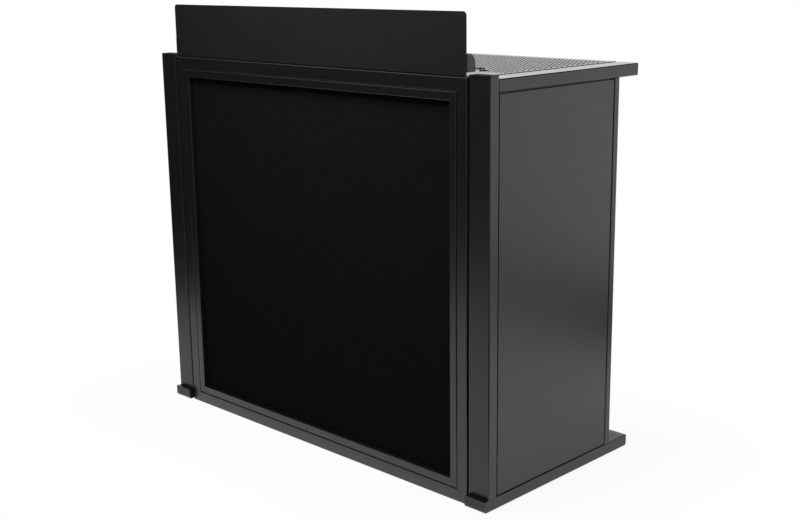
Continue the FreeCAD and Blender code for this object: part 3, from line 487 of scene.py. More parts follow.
# Sawn mill-finish aluminium, grey and lightly brushed, inside the corners of the frame.
KEY_ALUMINIUM = Finish("mill_finish_aluminium", "key_aluminium", "#b4b6b8", "#c3c5c7", 0.38,
                       grain_mm=1.2, relief_mm=0.02, metallic=1.0, stretch=(1.0, 1.0, 0.1))
# Moulded black nylon end caps: as smooth as the coat beside them, so that a foot mirrors its dark post.
CAP_PLASTIC = Finish("smooth_black_cap_nylon", "cap_plastic", "#0d0d0e", "#111112", 0.24,
                     grain_mm=1.2, roughness_spread=0.03, relief_mm=0.01, ior=1.55)
# The same nylon with a moulded grain, on top of the posts: matt, so that it stays dark where the
# rails shine.
GRAINED_PLASTIC = Finish("grained_black_cap_nylon", "cap_plastic", "#101011", "#151516", 0.85,
                         grain_mm=0.9, relief_mm=0.02, ior=1.4)
# Glass-filled nylon: hard, dull black, with a grainy mould texture.
KNOB_PLASTIC = Finish("moulded_black_nylon", "knob_plastic", "#161617", "#1c1c1d", 0.5,
                      grain_mm=0.8, relief_mm=0.03, ior=1.53)
# Matt black rubber with a dusty bloom.
RUBBER = Finish("matt_black_rubber", "pad_rubber", "#101010", "#171716", 0.85,
                drift_mm=20.0, grain_mm=1.0, relief_mm=0.03, ior=1.45)
# Bright zinc plate on steel: cool grey, softly mottled where the plating grew.
ZINC_PLATE = Finish("zinc_plated_steel", "plated_steel", "#a9adb1", "#bfc2c4", 0.32,
                    drift_mm=8.0, grain_mm=1.0, relief_mm=0.01, metallic=1.0)
# Black stretch cloth, dull and nearly without gloss. Its threads are about 0.5 mm apart, and are drawn
# at 2 mm so that they show.
SCRIM_CLOTH = ClothFinish("black_stretch_scrim_cloth", "scrim_cloth", "#0f0f10", "#121213", 0.95,
                          relief_mm=0.12, ior=1.04)


# Dressing

def dress_node(node: str, finish: Finish) -> None:
    """Gives a node of the frame its finish."""
    skin = NODES[node].data.materials
    skin.clear()
    skin.append(finish.material())
    LOG.info("%s is dressed in %s", node, finish.name)


def dress_piece(piece: Object, finish: Finish, body: str, *stands_for: str) -> Object:
    """Gives a new piece its finish and its body, and hides the nodes that it stands for.

    Args:
        piece: The finished piece.
        finish: The finish.
        body: The body that it rides on.
        *stands_for: The nodes that it takes the place of.

    Returns:
        The same piece.
    """
    skin = piece.data.materials
    skin.clear()
    skin.append(finish.material())
    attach(piece, body)
    if stands_for:
        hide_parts(*stands_for)
    LOG.info("%s is made of %d faces in %s", piece.name, len(piece.data.polygons), finish.name)
    return piece


def softened(node: str, finish: Finish, width: float, shortest: float = 0.0) -> Object:
    """Makes a copy of a node with its sharp edges broken, as real edges are, and dresses it.

    Args:
        node: The node to copy and take the place of.
        finish: The copy's finish.
        width: How far each edge is cut back.
        shortest: Edges shorter than this, such as those round small holes, stay sharp.

    Returns:
        The dressed copy.
    """
    piece = copy_of(NODES[node], f"{node}_softened")
    with editing(piece):
        bpy.ops.mesh.customdata_custom_splitnormals_clear()
        merge_touching()
        bpy.ops.mesh.dissolve_limited(angle_limit=math.radians(FLAT_DEGREES))
        pick(piece, Element.EDGES, lambda edge: edge.is_manifold and edge.calc_length() >= shortest
             and edge.calc_face_angle() > math.radians(SHARP_DEGREES))
        bevel(width, segments=3)
        merge_touching()
    smooth(piece)
    modify(piece, "WEIGHTED_NORMAL", keep_sharp=True)
    return dress_piece(piece, finish, NODES[node]["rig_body"], node)


@dataclass
class ButtonScrew:
    """A small button-head screw, modelled once and copied to its places."""

    head_radius: float = 4.2 * MM
    head_height: float = 2.4 * MM
    round_share: float = 0.7
    socket_radius: float = 1.8 * MM
    socket_depth: float = 1.4 * MM
    sides: int = 12

    def master(self) -> Object:
        """Models the head, with its underside on Z 0.

        Returns:
            The head.
        """
        piece = turned("screw_master", self.sides, self.head_radius, 0, self.head_height)
        rounding = self.head_height * self.round_share
        with editing(piece):
            pick(piece, Element.EDGES, lambda edge: lies_at(edge, Z, self.head_height))
            bevel(rounding, segments=2)
            pick(piece, Element.FACES,
                 lambda face: face.calc_center_median().z > self.head_height - TOUCH)
            bpy.ops.mesh.inset(thickness=max(self.head_radius - rounding - self.socket_radius, TOUCH))
            push((0, 0, -self.socket_depth))
        return piece

    def set_in(self, name: str, places: list[Seat], body: str) -> None:
        """Puts a screw at each place, as one dressed piece.

        Args:
            name: The piece's name.
            places: Where each head sits and which way it faces.
            body: The body that they ride on.
        """
        master = self.master()
        heads = [copy_of(master, f"{name}_{n}", *seat) for n, seat in enumerate(places)]
        discard(master)
        dress_piece(smooth(joined(heads, name)), ZINC_PLATE, body)


# Sub-assemblies

@dataclass
class SideFrame:
    """One welded side frame: tubes, caps, pads, panel, and the fittings on its inside."""

    side: Side
    edge: float = 0.5 * MM
    tube_edge: float = 2.4 * MM
    tube_shortest: float = 100.0 * MM
    cap_shortest: float = 6.0 * MM
    # The faces of a post's cap whose normal has more Z than this are its top.
    cap_top_normal: float = 0.5
    panel_fold: float = 0.95 * MM
    angle_sheet: float = 2.0 * MM
    angle_screws: int = 4
    cleat_sheet: float = 3.0 * MM
    cleat_screw_spread: float = 20.0 * MM
    ledge_screws: int = 5
    ledge_screw_share: float = 0.4

    def build(self) -> None:
        """Makes the softened tubes, panel and caps and the screws, and dresses the rest."""
        word = self.side.word
        for tube, coat in (("base_rail", STEEL_COAT), ("front_post", STEEL_COAT),
                           ("rear_post", STEEL_COAT), ("top_rail", RAIL_COAT)):
            softened(f"{tube}_{word}", coat, self.tube_edge, self.tube_shortest)
        for fitting in ("deck_ledge", "cross_rail_cleats", "frame_cleats", "panel_upright_angles",
                        "panel_level_angles"):
            dress_node(f"{fitting}_{word}", STEEL_COAT)
        dress_node(f"foot_pads_{word}", RUBBER)
        softened(f"side_panel_{word}", PANEL_COAT, self.panel_fold)
        for cap in ("base_rail_caps", "top_rail_cap"):
            softened(f"{cap}_{word}", CAP_PLASTIC, self.edge, self.cap_shortest)
        self.dull_top(softened(f"post_cap_{word}", CAP_PLASTIC, self.edge, self.cap_shortest))
        for group, places in (("panel_angle", self.angle_places()), ("cleat", self.cleat_places()),
                              ("ledge", self.ledge_places())):
            ButtonScrew().set_in(f"{group}_screws_{word}", places, "chassis")

    def dull_top(self, cap: Object) -> None:
        """Gives the upper face of a post's cap the moulded grain that keeps it from shining."""
        cap.data.materials.append(GRAINED_PLASTIC.material())
        with editing(cap):
            pick(cap, Element.FACES, lambda face: face.normal.z > self.cap_top_normal)
            cap.active_material_index = 1
            bpy.ops.object.material_slot_assign()

    def angle_places(self) -> list[Seat]:
        """Spaces screws along the leg of each panel angle that lies on a tube.

        Returns:
            The places of the heads and the ways that they face.
        """
        shares = [(n + 0.5) / self.angle_screws for n in range(self.angle_screws)]
        places = []
        for node, axis, facings in (("panel_upright_angles", Y, (Facing.BACK, Facing.FRONT)),
                                    ("panel_level_angles", Z, (Facing.UP, Facing.DOWN))):
            boxes = sorted(solid_boxes(f"{node}_{self.side.word}"), key=lambda box: box[0][axis])
            for (near, far), facing, way in zip(boxes, facings, (1, -1)):
                for share in shares:
                    spot = near + (far - near) * share
                    spot.x = (near.x + far.x) / 2
                    spot[axis] = (near if way > 0 else far)[axis] + way * self.angle_sheet
                    places.append((spot, facing))
        return places

    def cleat_places(self) -> list[Seat]:
        """Finds two places on the outer part of each cleat, where it is fixed to its tube.

        Returns:
            The places of the heads and the ways that they face.
        """
        tube_inside = abs(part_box(f"front_post_{self.side.word}")[0 if self.side is Side.RIGHT else 1].x)
        step = self.cleat_screw_spread / 2
        places = []
        for node, along, across, corner, facing in (("cross_rail_cleats", Y, Z, 0, Facing.DOWN),
                                                    ("frame_cleats", Z, Y, 1, Facing.BACK)):
            for box in solid_boxes(f"{node}_{self.side.word}"):
                for way in (-step, step):
                    spot = (box[0] + box[1]) / 2
                    spot.x = self.side.value * (tube_inside + max(abs(box[0].x), abs(box[1].x))) / 2
                    spot[along] += way
                    spot[across] = box[corner][across]
                    places.append((spot, facing))
        return places

    def ledge_places(self) -> list[Seat]:
        """Spaces screws along the upright leg of the ledge that carries the deck.

        Returns:
            The places of the heads and the ways that they face.
        """
        low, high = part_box(f"deck_ledge_{self.side.word}")
        outer = high.x if self.side is Side.RIGHT else low.x
        x = outer - self.side.value * self.cleat_sheet
        facing = Facing.LEFT if self.side is Side.RIGHT else Facing.RIGHT
        step = (high.y - low.y) / self.ledge_screws
        z = low.z + (high.z - low.z) * self.ledge_screw_share
        return [(Vector((x, low.y + (n + 0.5) * step, z)), facing) for n in range(self.ledge_screws)]


@dataclass
class FrontFrame:
    """The mitred front frame: its edges and mitres are broken a little, so that the seams show."""

    edge: float = 0.7 * MM
    shortest: float = 9.0 * MM
    lengths: tuple[str, ...] = ("top_rail", "bottom_rail", "stile_left", "stile_right")

    def build(self) -> None:
        """Makes the softened lengths and dresses the corner keys."""
        for length in self.lengths:
            softened(f"frame_{length}", FRAME_COAT, self.edge, self.shortest)
        dress_node("frame_corner_keys", KEY_ALUMINIUM)


@dataclass
class ScrimFrame:
    """The drop-in inner frame with its cloth, edge strip and magnets."""

    edge: float = 0.8 * MM
    shortest: float = 9.0 * MM
    sides: tuple[str, ...] = ("top", "right", "bottom", "left")
    cloth_thickness: float = 0.5 * MM
    ripple: float = 0.5 * MM
    ripple_size: float = 0.35
    squares: int = 72

    def build(self) -> None:
        """Makes the softened lengths and the cloth, and dresses what holds them."""
        for side in self.sides:
            softened(f"scrim_frame_{side}", FRAME_COAT, self.edge, self.shortest)
        dress_node("scrim_edge_strip", RUBBER)
        dress_node("scrim_magnets", ZINC_PLATE)
        self.stretch_cloth()

    def stretch_cloth(self) -> None:
        """Makes the cloth: a fine grid, very slightly uneven in its pull, with a real thickness."""
        low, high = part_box("scrim")
        middle = (low + high) / 2
        cloth = add_primitive(Shape.GRID, "scrim_cloth", x_subdivisions=self.squares,
                              y_subdivisions=self.squares, size=1.0, location=middle,
                              rotation=Facing.FRONT.value)
        cloth.scale = (high.x - low.x, high.z - low.z, 1)
        settle(cloth)
        pull = bpy.data.textures.new("uneven_pull", "CLOUDS")
        pull.noise_scale = self.ripple_size
        modify(cloth, "DISPLACE", texture=pull, strength=self.ripple, mid_level=0.5,
               texture_coords="OBJECT", direction="Y")
        modify(cloth, "SOLIDIFY", thickness=self.cloth_thickness, offset=0.0)
        smooth(cloth, degrees=60.0)
        dress_piece(cloth, SCRIM_CLOTH, "scrim_frame", "scrim")


@dataclass
class Fascia:
    """The raised fascia sheet with its folded tabs, on an angle with tongues."""

    edge: float = 0.4 * MM

    def build(self) -> None:
        """Makes the softened sheet and dresses what carries it."""
        softened("fascia_panel", PANEL_COAT, self.edge)
        dress_node("fascia_angle", STEEL_COAT)
        dress_node("fascia_tongues", ZINC_PLATE)


@dataclass
class Deck:
    """The perforated deck sheet with its plugs, ribs and edge angle.

    The real holes are about 8 mm apart, and are drawn 12 mm apart so that they show. The sheet is drawn
    a little thicker than the solid, so that its edge stands proud of the rails.
    """

    pitch: float = 12.0 * MM
    proud: float = 1.0 * MM
    hole_radius: float = 4.2 * MM
    hole_sides: int = 8
    # An edge nearer to a hole's middle than so many of its radii is its rim.
    hole_slack: float = 1.02
    # A tile's corners lie further out than this share of the spacing both ways.
    corner_share: float = 0.3
    columns: int = 88
    pairs_front: int = 10
    pairs_rear: int = 9
    front_margin: float = 105.0 * MM
    plug_sides: int = 32
    plug_clearance: float = 0.2 * MM
    plug_land: float = 6.3 * MM
    plug_rim: float = 2.4 * MM
    plug_round: float = 0.4 * MM
    plug_lip: float = 1.0 * MM
    plug_dish: float = 3.0 * MM
    sheet: tuple[Vector, Vector] = field(default_factory=lambda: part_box("deck_sheet"))

    @property
    def top(self) -> float:
        """The height of the sheet's upper face."""
        return self.sheet[1].z + self.proud

    @property
    def row_step(self) -> float:
        """The distance between two rows of staggered holes."""
        return self.pitch * math.sqrt(3) / 2

    @property
    def field_half(self) -> float:
        """Half the width of the perforated field."""
        return self.columns * self.pitch / 2

    @property
    def field_front(self) -> float:
        """Where the perforated field starts."""
        return self.sheet[0].y + self.front_margin

    def build(self) -> None:
        """Makes the two halves of the sheet and the plugs, and dresses the rest."""
        pair = self.row_pair()
        front = self.half_sheet("deck_sheet_front_half", pair, self.pairs_front, 0, self.sheet[0].y)
        for low, high in solid_boxes("deck_plugs"):
            self.cut_plug_hole(front, low, high)
        rear = self.half_sheet("deck_sheet_rear_half", pair, self.pairs_rear, self.pairs_front,
                               self.sheet[1].y)
        discard(pair)
        for half in (front, rear):
            self.thicken(half)
            dress_piece(half, DECK_COAT, "deck", "deck_sheet")
        self.make_plugs()
        for node in ("deck_ribs", "deck_edge_angle", "front_cross_rail", "rear_cross_rail"):
            dress_node(node, STEEL_COAT)

    def tile(self) -> Object:
        """Models one hole and the metal round it, which reaches half way to its neighbours.

        Returns:
            The flat tile.
        """
        piece = add_primitive(Shape.CIRCLE, "tile", vertices=self.hole_sides, radius=self.hole_radius)
        wide = self.pitch / 2 / self.hole_radius
        deep = self.row_step / 2 / self.hole_radius
        with editing(piece):
            bpy.ops.mesh.extrude_edges_move()
            bpy.ops.transform.resize(value=(wide, deep, 1), center_override=(0, 0, 0))
            pick(piece, Element.VERTS, lambda vert: abs(vert.co.x) > self.corner_share * self.pitch
                 and abs(vert.co.y) > self.corner_share * self.row_step)
            bpy.ops.transform.resize(value=(math.sqrt(2), math.sqrt(2), 1), center_override=(0, 0, 0))
        return piece

    def row_pair(self) -> Object:
        """Models two neighbouring rows, one shifted by half a pitch and filled out at its ends.

        Returns:
            The two rows, with the first one's front edge at the field's front.
        """
        tile = self.tile()
        half_pitch, left = self.pitch / 2, -self.field_half
        rows = []
        for row, name in enumerate(("first_row", "second_row")):
            y = self.field_front + (row + 0.5) * self.row_step
            rows.append(copy_of(tile, name, (left + (row + 1) * half_pitch, y, self.top)))
            self.repeat(rows[row], self.columns - row, (self.pitch, 0, 0))
        discard(tile)
        self.push_edge(rows[1], X, left + half_pitch, left)
        self.push_edge(rows[1], X, -left - half_pitch, -left)
        pair = joined(rows, "row_pair")
        with editing(pair):
            merge_touching()
        return pair

    def repeat(self, piece: Object, count: int, step: Triple) -> None:
        """Lays copies of a flat piece one step apart and merges the points that they share."""
        modify(piece, "ARRAY", count=count, use_relative_offset=False, use_constant_offset=True,
               constant_offset_displace=step, use_merge_vertices=True, merge_threshold=TOUCH)

    def push_edge(self, piece: Object, axis: int, start: float, end: float) -> None:
        """Extrudes the straight border of a flat piece outwards.

        Args:
            piece: The flat piece.
            axis: The number of the axis across the border.
            start: Where the border is on that axis.
            end: Where it goes.
        """
        step = [0.0, 0.0, 0.0]
        step[axis] = end - start
        with editing(piece):
            pick(piece, Element.EDGES, lambda edge: lies_at(edge, axis, start))
            bpy.ops.mesh.extrude_edges_move(TRANSFORM_OT_translate={"value": step})

    def half_sheet(self, name: str, pair: Object, pairs: int, skipped: int, edge: float) -> Object:
        """Repeats the pair of rows and pushes the plain border out round three sides.

        Args:
            name: The half's name.
            pair: The modelled pair of rows.
            pairs: How many pairs this half has.
            skipped: How many pairs lie in front of it.
            edge: Where the sheet ends, in front or behind.

        Returns:
            The flat half.
        """
        deep = 2 * self.row_step
        half = copy_of(pair, name, (0, skipped * deep, 0))
        self.repeat(half, pairs, (0, deep, 0))
        for sign, end in ((-1, self.sheet[0].x), (1, self.sheet[1].x)):
            self.push_edge(half, X, sign * self.field_half, end)
        start = self.field_front if skipped == 0 else self.field_front + (skipped + pairs) * deep
        self.push_edge(half, Y, start, edge)
        return half

    def hole_centre(self, spot: Vector) -> Vector:
        """Finds the middle of the hole whose tile a point of the field lies in."""
        row = math.floor((spot.y - self.field_front) / self.row_step)
        start = -self.field_half + (self.pitch / 2 if row % 2 else 0)
        column = math.floor((spot.x - start) / self.pitch)
        return Vector((start + (column + 0.5) * self.pitch,
                       self.field_front + (row + 0.5) * self.row_step, spot.z))

    def cut_plug_hole(self, half: Object, low: Vector, high: Vector) -> None:
        """Takes the holes round a plug out of the sheet and fills the metal up to the plug.

        Args:
            half: The flat half sheet.
            low: The plug's lowest corner.
            high: The plug's highest corner.
        """
        middle = (low + high) / 2
        middle.z = self.top
        radius = (high.x - low.x) / 2 + self.plug_clearance
        reach = radius + self.plug_land
        around = reach + 2 * self.pitch

        def in_patch(face: BMFace) -> bool:
            """Says whether a face belongs to a hole that is too near to the plug."""
            return (self.hole_centre(face.calc_center_median()) - middle).length < reach

        def on_border(edge: BMEdge) -> bool:
            """Says whether an edge is the plug's circle or the border of the opened patch."""
            if edge.is_wire:
                return True
            spots = [vert.co for vert in edge.verts]
            if not edge.is_boundary or any((spot - middle).length > around for spot in spots):
                return False
            inner = (spots[0] + spots[1]) / 2
            centre = self.hole_centre(edge.link_faces[0].calc_center_median())
            return (inner - centre).length > self.hole_radius * self.hole_slack

        with editing(half):
            pick(half, Element.FACES, in_patch)
            bpy.ops.mesh.delete(type="FACE")
            bpy.ops.mesh.primitive_circle_add(vertices=self.plug_sides, radius=radius, location=middle)
            pick(half, Element.EDGES, on_border)
            bpy.ops.mesh.fill(use_beauty=True)

    def thicken(self, half: Object) -> None:
        """Turns a flat half's faces upwards and gives it the sheet's thickness below them."""
        with editing(half):
            bpy.ops.mesh.normals_make_consistent(inside=False)
        if sum(face.normal.z for face in half.data.polygons) < 0:
            with editing(half):
                bpy.ops.mesh.flip_normals()
        modify(half, "SOLIDIFY", thickness=self.top - self.sheet[0].z, offset=-1.0)
        smooth(half, degrees=50.0)

    def make_plugs(self) -> None:
        """Models a dished rubber plug with a raised lip and copies it into each cable hole."""
        boxes = solid_boxes("deck_plugs")
        low, high = boxes[0]
        plug = turned("plug_master", self.plug_sides, (high.x - low.x) / 2, low.z - high.z, self.plug_lip)
        with editing(plug):
            pick(plug, Element.FACES, lambda face: face.normal.z > LEVEL)
            bpy.ops.mesh.inset(thickness=self.plug_rim)
            push((0, 0, -self.plug_dish))
            pick(plug, Element.EDGES, lambda edge: lies_at(edge, Z, self.plug_lip))
            bevel(self.plug_round, segments=2)
        plugs = [copy_of(plug, f"plug_{n}", ((a.x + b.x) / 2, (a.y + b.y) / 2, self.top))
                 for n, (a, b) in enumerate(boxes)]
        discard(plug)
        dress_piece(smooth(joined(plugs, "dished_deck_plugs")), RUBBER, "deck", "deck_plugs")


@dataclass
class HandKnobs:
    """The eight lobed hand knobs: a moulded head on a plated stud."""

    lobes: int = 6
    head_radius: float = 19.0 * MM
    waist_radius: float = 14.0 * MM
    head_height: float = 14.0 * MM
    boss_radius: float = 9.0 * MM
    boss_height: float = 4.0 * MM
    boss_hollow: float = 0.4 * MM
    boss_sides: int = 24
    stud_radius: float = 4.0 * MM
    stud_length: float = 14.0 * MM
    stud_tip: float = 1.0 * MM
    stud_sides: int = 20
    lobe_round: float = 4.5 * MM
    waist_round: float = 3.0 * MM
    rim_round: float = 1.6 * MM
    rim_degrees: float = 60.0
    dish_inset: float = 4.0 * MM
    dish_depth: float = 1.5 * MM

    def build(self) -> None:
        """Models a head and a stud, and puts them in the place of each knob."""
        head, stud = self.model_head(), self.model_stud()
        for node, (seat, facing) in self.seats().items():
            body = NODES[node]["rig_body"]
            dress_piece(smooth(copy_of(head, f"{node}_head", seat, facing)), KNOB_PLASTIC, body, node)
            dress_piece(smooth(copy_of(stud, f"{node}_stud", seat, facing)), ZINC_PLATE, body, node)
        discard(head, stud)

    def seats(self) -> dict[str, Seat]:
        """Finds each knob's seat, where its boss meets the cleat.

        Returns:
            The seat, and the way that the knob's head faces, for each node.
        """
        found = {}
        for node in sorted(NODES):
            low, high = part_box(node)
            middle = (low + high) / 2
            if node.startswith("deck_knob_"):
                found[node] = (Vector((middle.x, middle.y, high.z - self.stud_length)), Facing.DOWN)
            elif node.startswith("frame_knob_"):
                found[node] = (Vector((middle.x, low.y + self.stud_length, middle.z)), Facing.BACK)
        return found

    def model_head(self) -> Object:
        """Models the head and its boss, with the seat on Z 0 and the head above it.

        Returns:
            The head.
        """
        foot, top = self.boss_height, self.boss_height + self.head_height
        waist = self.waist_radius / self.head_radius
        spread = math.tau / self.lobes
        slack = math.radians(1)

        def off_groove(vert: BMVert) -> float:
            """Gives a corner's angle from the nearest groove between two lobes."""
            return abs(math.remainder(math.atan2(vert.co.x, vert.co.y) - spread / 2, spread))

        def upright(edge: BMEdge) -> bool:
            """Says whether an edge runs up the head's side."""
            return abs(edge.verts[0].co.z - edge.verts[1].co.z) > self.head_height / 2

        def on_rim(edge: BMEdge) -> bool:
            """Says whether an edge is a sharp one round the head's top or foot."""
            level = lies_at(edge, Z, top) or lies_at(edge, Z, foot)
            return level and edge.is_manifold and edge.calc_face_angle() > math.radians(self.rim_degrees)

        head = turned("knob_head_master", 2 * self.lobes, self.head_radius, foot, top)
        with editing(head):
            pick(head, Element.VERTS, lambda vert: off_groove(vert) < spread / 4)
            bpy.ops.transform.resize(value=(waist, waist, 1), center_override=(0, 0, 0))
            pick(head, Element.EDGES, lambda edge: upright(edge)
                 and off_groove(edge.verts[0]) > spread / 4)
            bevel(self.lobe_round, segments=4)
            pick(head, Element.EDGES, lambda edge: upright(edge) and off_groove(edge.verts[0]) < slack)
            bevel(self.waist_round, segments=3)
            pick(head, Element.FACES, lambda face: face.normal.z > LEVEL)
            bpy.ops.mesh.inset(thickness=self.dish_inset)
            push((0, 0, -self.dish_depth))
            pick(head, Element.EDGES, on_rim)
            bevel(self.rim_round, segments=2)
        boss = turned("boss", self.boss_sides, self.boss_radius, 0, foot)
        with editing(boss):
            pick(boss, Element.FACES, lambda face: face.normal.z < -LEVEL)
            bpy.ops.mesh.inset(thickness=self.rim_round)
            push((0, 0, self.boss_hollow))
        return joined([head, boss], "knob_head_master")

    def model_stud(self) -> Object:
        """Models the stud below the seat, with a bevelled tip.

        Returns:
            The stud.
        """
        stud = turned("knob_stud_master", self.stud_sides, self.stud_radius, -self.stud_length, 0)
        with editing(stud):
            pick(stud, Element.EDGES, lambda edge: lies_at(edge, Z, -self.stud_length))
            bevel(self.stud_tip, segments=1)
        return stud


# Camera and studio

@dataclass
class PhotographView:
    """The camera at the photograph's place, for an image of 800 by 520."""

    place: Triple = (2.29046, -2.26893, 1.24265)
    azimuth: float = 44.554
    pitch: float = 13.678
    roll: float = -0.747
    focal_pixels: float = 1221.85
    image_width: float = 800.0
    sensor: float = 36.0

    def build(self) -> None:
        """Makes the camera and makes it the scene's own."""
        turn, dip, lean = (math.radians(angle) for angle in (self.azimuth, self.pitch, self.roll))
        # A camera looks straight down before it is turned, so it is tipped up first.
        facing = Euler((math.pi / 2 - dip, 0.0, turn)).to_matrix() @ Matrix.Rotation(lean, 3, "Z")
        data = bpy.data.cameras.new("photograph_camera")
        data.sensor_width = self.sensor
        data.lens = self.focal_pixels * self.sensor / self.image_width
        camera = bpy.data.objects.new("photograph_camera", data)
        bpy.context.scene.collection.objects.link(camera)
        camera.matrix_world = Matrix.Translation(self.place) @ facing.to_4x4()
        bpy.context.scene.camera = camera
        LOG.info("camera at %s", self.place)


@dataclass(frozen=True)
class Card:
    """A card that stands or lies in the studio and shows only in gloss."""

    name: str
    middle: Triple
    width: float
    height: float
    turn: Triple
    tone: str

    def stand(self) -> None:
        """Makes the card and hides it from all but gloss."""
        card = add_primitive(Shape.PLANE, self.name, size=1.0, location=self.middle, rotation=self.turn)
        card.scale = (self.width, self.height, 1)
        cloth = bpy.data.materials.new(self.name)
        tree = empty_tree(cloth)
        glow = add_node(tree, "Emission", {"Color": linear(self.tone), "Strength": 1.0})
        add_node(tree, "OutputMaterial", {"Surface": glow})
        card.data.materials.append(cloth)
        card.visible_camera = False
        card.visible_diffuse = False
        card.visible_shadow = False


@dataclass(frozen=True)
class SoftBox:
    """A square lamp that lights the booth and doesn't show, also not in gloss."""

    name: str
    place: Triple
    target: Triple
    size: float
    watts: float

    def hang(self) -> None:
        """Makes the lamp and points it at its target."""
        data = bpy.data.lights.new(self.name, "AREA")
        data.size = self.size
        data.energy = self.watts
        lamp = bpy.data.objects.new(self.name, data)
        bpy.context.scene.collection.objects.link(lamp)
        lamp.location = self.place
        lamp.rotation_euler = (Vector(self.target) - lamp.location).to_track_quat("-Z", "Y").to_euler()
        lamp.visible_camera = False
        lamp.visible_glossy = False
        LOG.info("%s at %s", self.name, self.place)


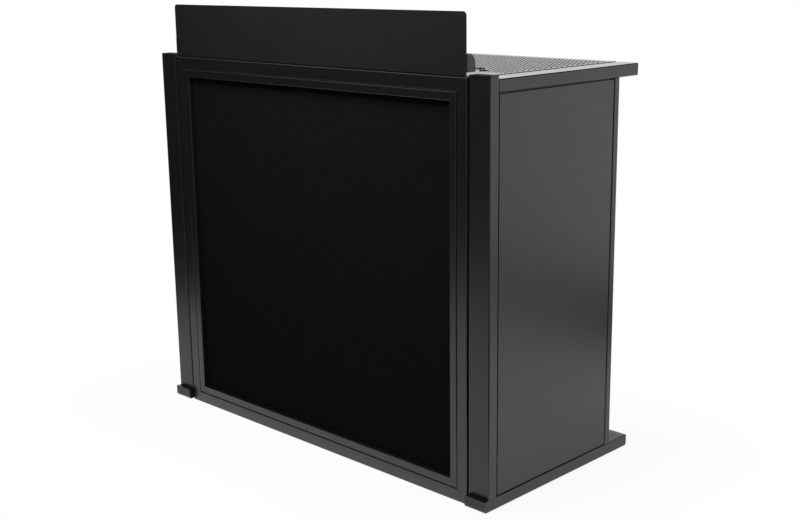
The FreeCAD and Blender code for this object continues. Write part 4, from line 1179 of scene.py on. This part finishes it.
@dataclass
class Studio:
    """A white studio: floor, surrounding light, soft boxes, and dark cards that only gloss shows."""

    floor_size: float = 40.0
    floor_colour: str = "#b4b4b4"
    # The floor's white glow near the booth, for the camera and for gloss, grows to full over the reach
    # and falls to under_white between the walls; where it is weaker it paints the floor near and under
    # the booth darker, on top of the real shadow.
    near_white: float = 0.94
    near_gloss: float = 0.7
    white_reach: float = 0.4
    under_white: float = 0.4
    wall: float = 30.0 * MM
    ambient: float = 0.24
    lamps: tuple[SoftBox, ...] = (
        SoftBox("top_soft_box", (0.0, 0.0, 4.2), (0.0, 0.0, 0.0), 4.0, 50.0),
        SoftBox("front_soft_box", (0.1, -0.85, 1.95), (0.1, -0.26, 0.9), 0.8, 42.0),
    )
    cards: tuple[Card, ...] = (
        # Keeps the upper part of the front dark, and the floor before it bright.
        Card("dark_flag", (-0.6, -1.63, 0.86), 3.8, 1.72, (math.pi / 2, 0, -math.pi / 4), "#282828"),
        # Dims the floor that the lower part of the front shows.
        Card("pale_mat", (-1.2, -2.3, 0.002), 5.0, 4.0, (0, 0, 0), "#e0e0e0"),
        # These two darken the rounded edges that look towards the camera.
        Card("dark_curtain", (3.1, -3.1, 0.85), 4.0, 1.7, (math.pi / 2, 0, math.pi / 4), "#202020"),
        Card("dark_mat", (1.85, -1.85, 0.004), 3.4, 2.2, (0, 0, -math.pi / 4), "#181818"),
        # Lays a soft dark band across the side panel.
        Card("grey_strip", (2.0, 1.25, 0.01), 2.6, 0.6, (0, 0, 0), "#303030"),
        # Draws the upper edges of the tubes as thin dark lines.
        Card("dark_ceiling", (0.0, 2.1, 2.6), 9.0, 3.8, (math.pi, 0, 0), "#202020"),
    )

    def build(self) -> None:
        """Makes the floor, the world, the lamps and the cards."""
        bpy.context.scene.view_settings.view_transform = "Standard"
        self.lay_floor()
        self.light_world()
        for lamp in self.lamps:
            lamp.hang()
        for card in self.cards:
            card.stand()

    def background_share(self, tree: NodeTree) -> Node:
        """Adds a factor that is 1 for rays that show the background, straight or by gloss or glass.

        Args:
            tree: The node tree to add it to.

        Returns:
            The node that gives the factor.
        """
        path = add_node(tree, "LightPath").outputs
        share = path["Is Camera Ray"]
        for kind in ("Is Glossy Ray", "Is Transmission Ray"):
            share = add_node(tree, "Math", {0: share, 1: path[kind]}, operation="MAXIMUM")
        return share

    def under_share(self, tree: NodeTree, spot: NodeSocket) -> Node:
        """Adds a factor that is 1 around the booth and less on the floor between its walls, where it
        weakens the floor's glow and so paints shade under the booth.

        Args:
            tree: The floor's node tree.
            spot: The point on the floor.

        Returns:
            The node that gives the factor.
        """
        parts = add_node(tree, "SeparateXYZ", {0: spot}).outputs
        across = add_node(tree, "Math", {0: parts["X"]}, operation="ABSOLUTE")
        ahead = add_node(tree, "Math", {0: parts["Y"], 1: -1.0}, operation="MULTIPLY")
        side, front = CAD_BOX[1][X], -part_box("front_post_left")[0].y
        share = self.under_white
        for way, start, end in ((across, side - self.wall, side), (ahead, front - self.wall, front),
                                (parts["Y"], 0.0, CAD_BOX[1][Y])):
            level = add_node(tree, "MapRange", {"Value": way, "From Min": start, "From Max": end,
                                                "To Min": self.under_white})
            share = add_node(tree, "Math", {0: share, 1: level}, operation="MAXIMUM")
        return share

    def light_world(self) -> None:
        """Makes an even white surround, weaker as light than as background."""
        world = bpy.data.worlds.new("white_studio")
        tree = empty_tree(world)
        level = add_node(tree, "MapRange", {"Value": self.background_share(tree), "To Min": self.ambient,
                                            "To Max": 1.0})
        surround = add_node(tree, "Background", {"Color": linear("#ffffff"), "Strength": level})
        add_node(tree, "OutputWorld", {"Surface": surround})
        bpy.context.scene.world = world

    def lay_floor(self) -> None:
        """Lays a pale matt floor that keeps the booth's real shadow and is whitened by a glow away from
        it; the glow is weaker near and under the booth, which paints shade there as well.
        """
        floor = add_primitive(Shape.PLANE, "studio_floor", size=self.floor_size)
        paper = bpy.data.materials.new("white_paper")
        tree = empty_tree(paper)
        matt = add_node(tree, "BsdfDiffuse", {"Color": linear(self.floor_colour)})
        glow = add_node(tree, "Emission", {"Color": linear("#ffffff"), "Strength": 1.0})
        half = (CAD_BOX[1][X], CAD_BOX[1][Y], 1.0)
        spot = add_node(tree, "TexCoord").outputs["Object"]
        beyond = spot
        for step, other in (("ABSOLUTE", (0, 0, 0)), ("SUBTRACT", half), ("MAXIMUM", (0, 0, 0))):
            beyond = add_node(tree, "VectorMath", {0: beyond, 1: other}, operation=step)
        reach = add_node(tree, "VectorMath", {0: beyond}, operation="LENGTH").outputs["Value"]
        # Painted shade: the glow is weaker near the booth, and weaker still in gloss, so the floor there
        # and its reflection in the lower front are darker.
        straight = add_node(tree, "LightPath").outputs["Is Camera Ray"]
        near = add_node(tree, "MapRange", {"Value": straight, "To Min": self.near_gloss,
                                           "To Max": self.near_white})
        share = add_node(tree, "MapRange", {"Value": reach, "From Max": self.white_reach, "To Min": near})
        for factor in (self.under_share(tree, spot), self.background_share(tree)):
            share = add_node(tree, "Math", {0: share, 1: factor}, operation="MULTIPLY")
        blend = add_node(tree, "MixShader", {0: share, 1: matt, 2: glow})
        add_node(tree, "OutputMaterial", {"Surface": blend})
        floor.data.materials.append(paper)


def main() -> None:
    """Builds the sub-assemblies, the camera and the studio in order."""
    logging.basicConfig(level=logging.INFO, format="%(name)s: %(message)s")
    for side in Side:
        SideFrame(side).build()
    FrontFrame().build()
    ScrimFrame().build()
    Fascia().build()
    Deck().build()
    HandKnobs().build()
    PhotographView().build()
    Studio().build()


if __name__ == "__main__":
    main()
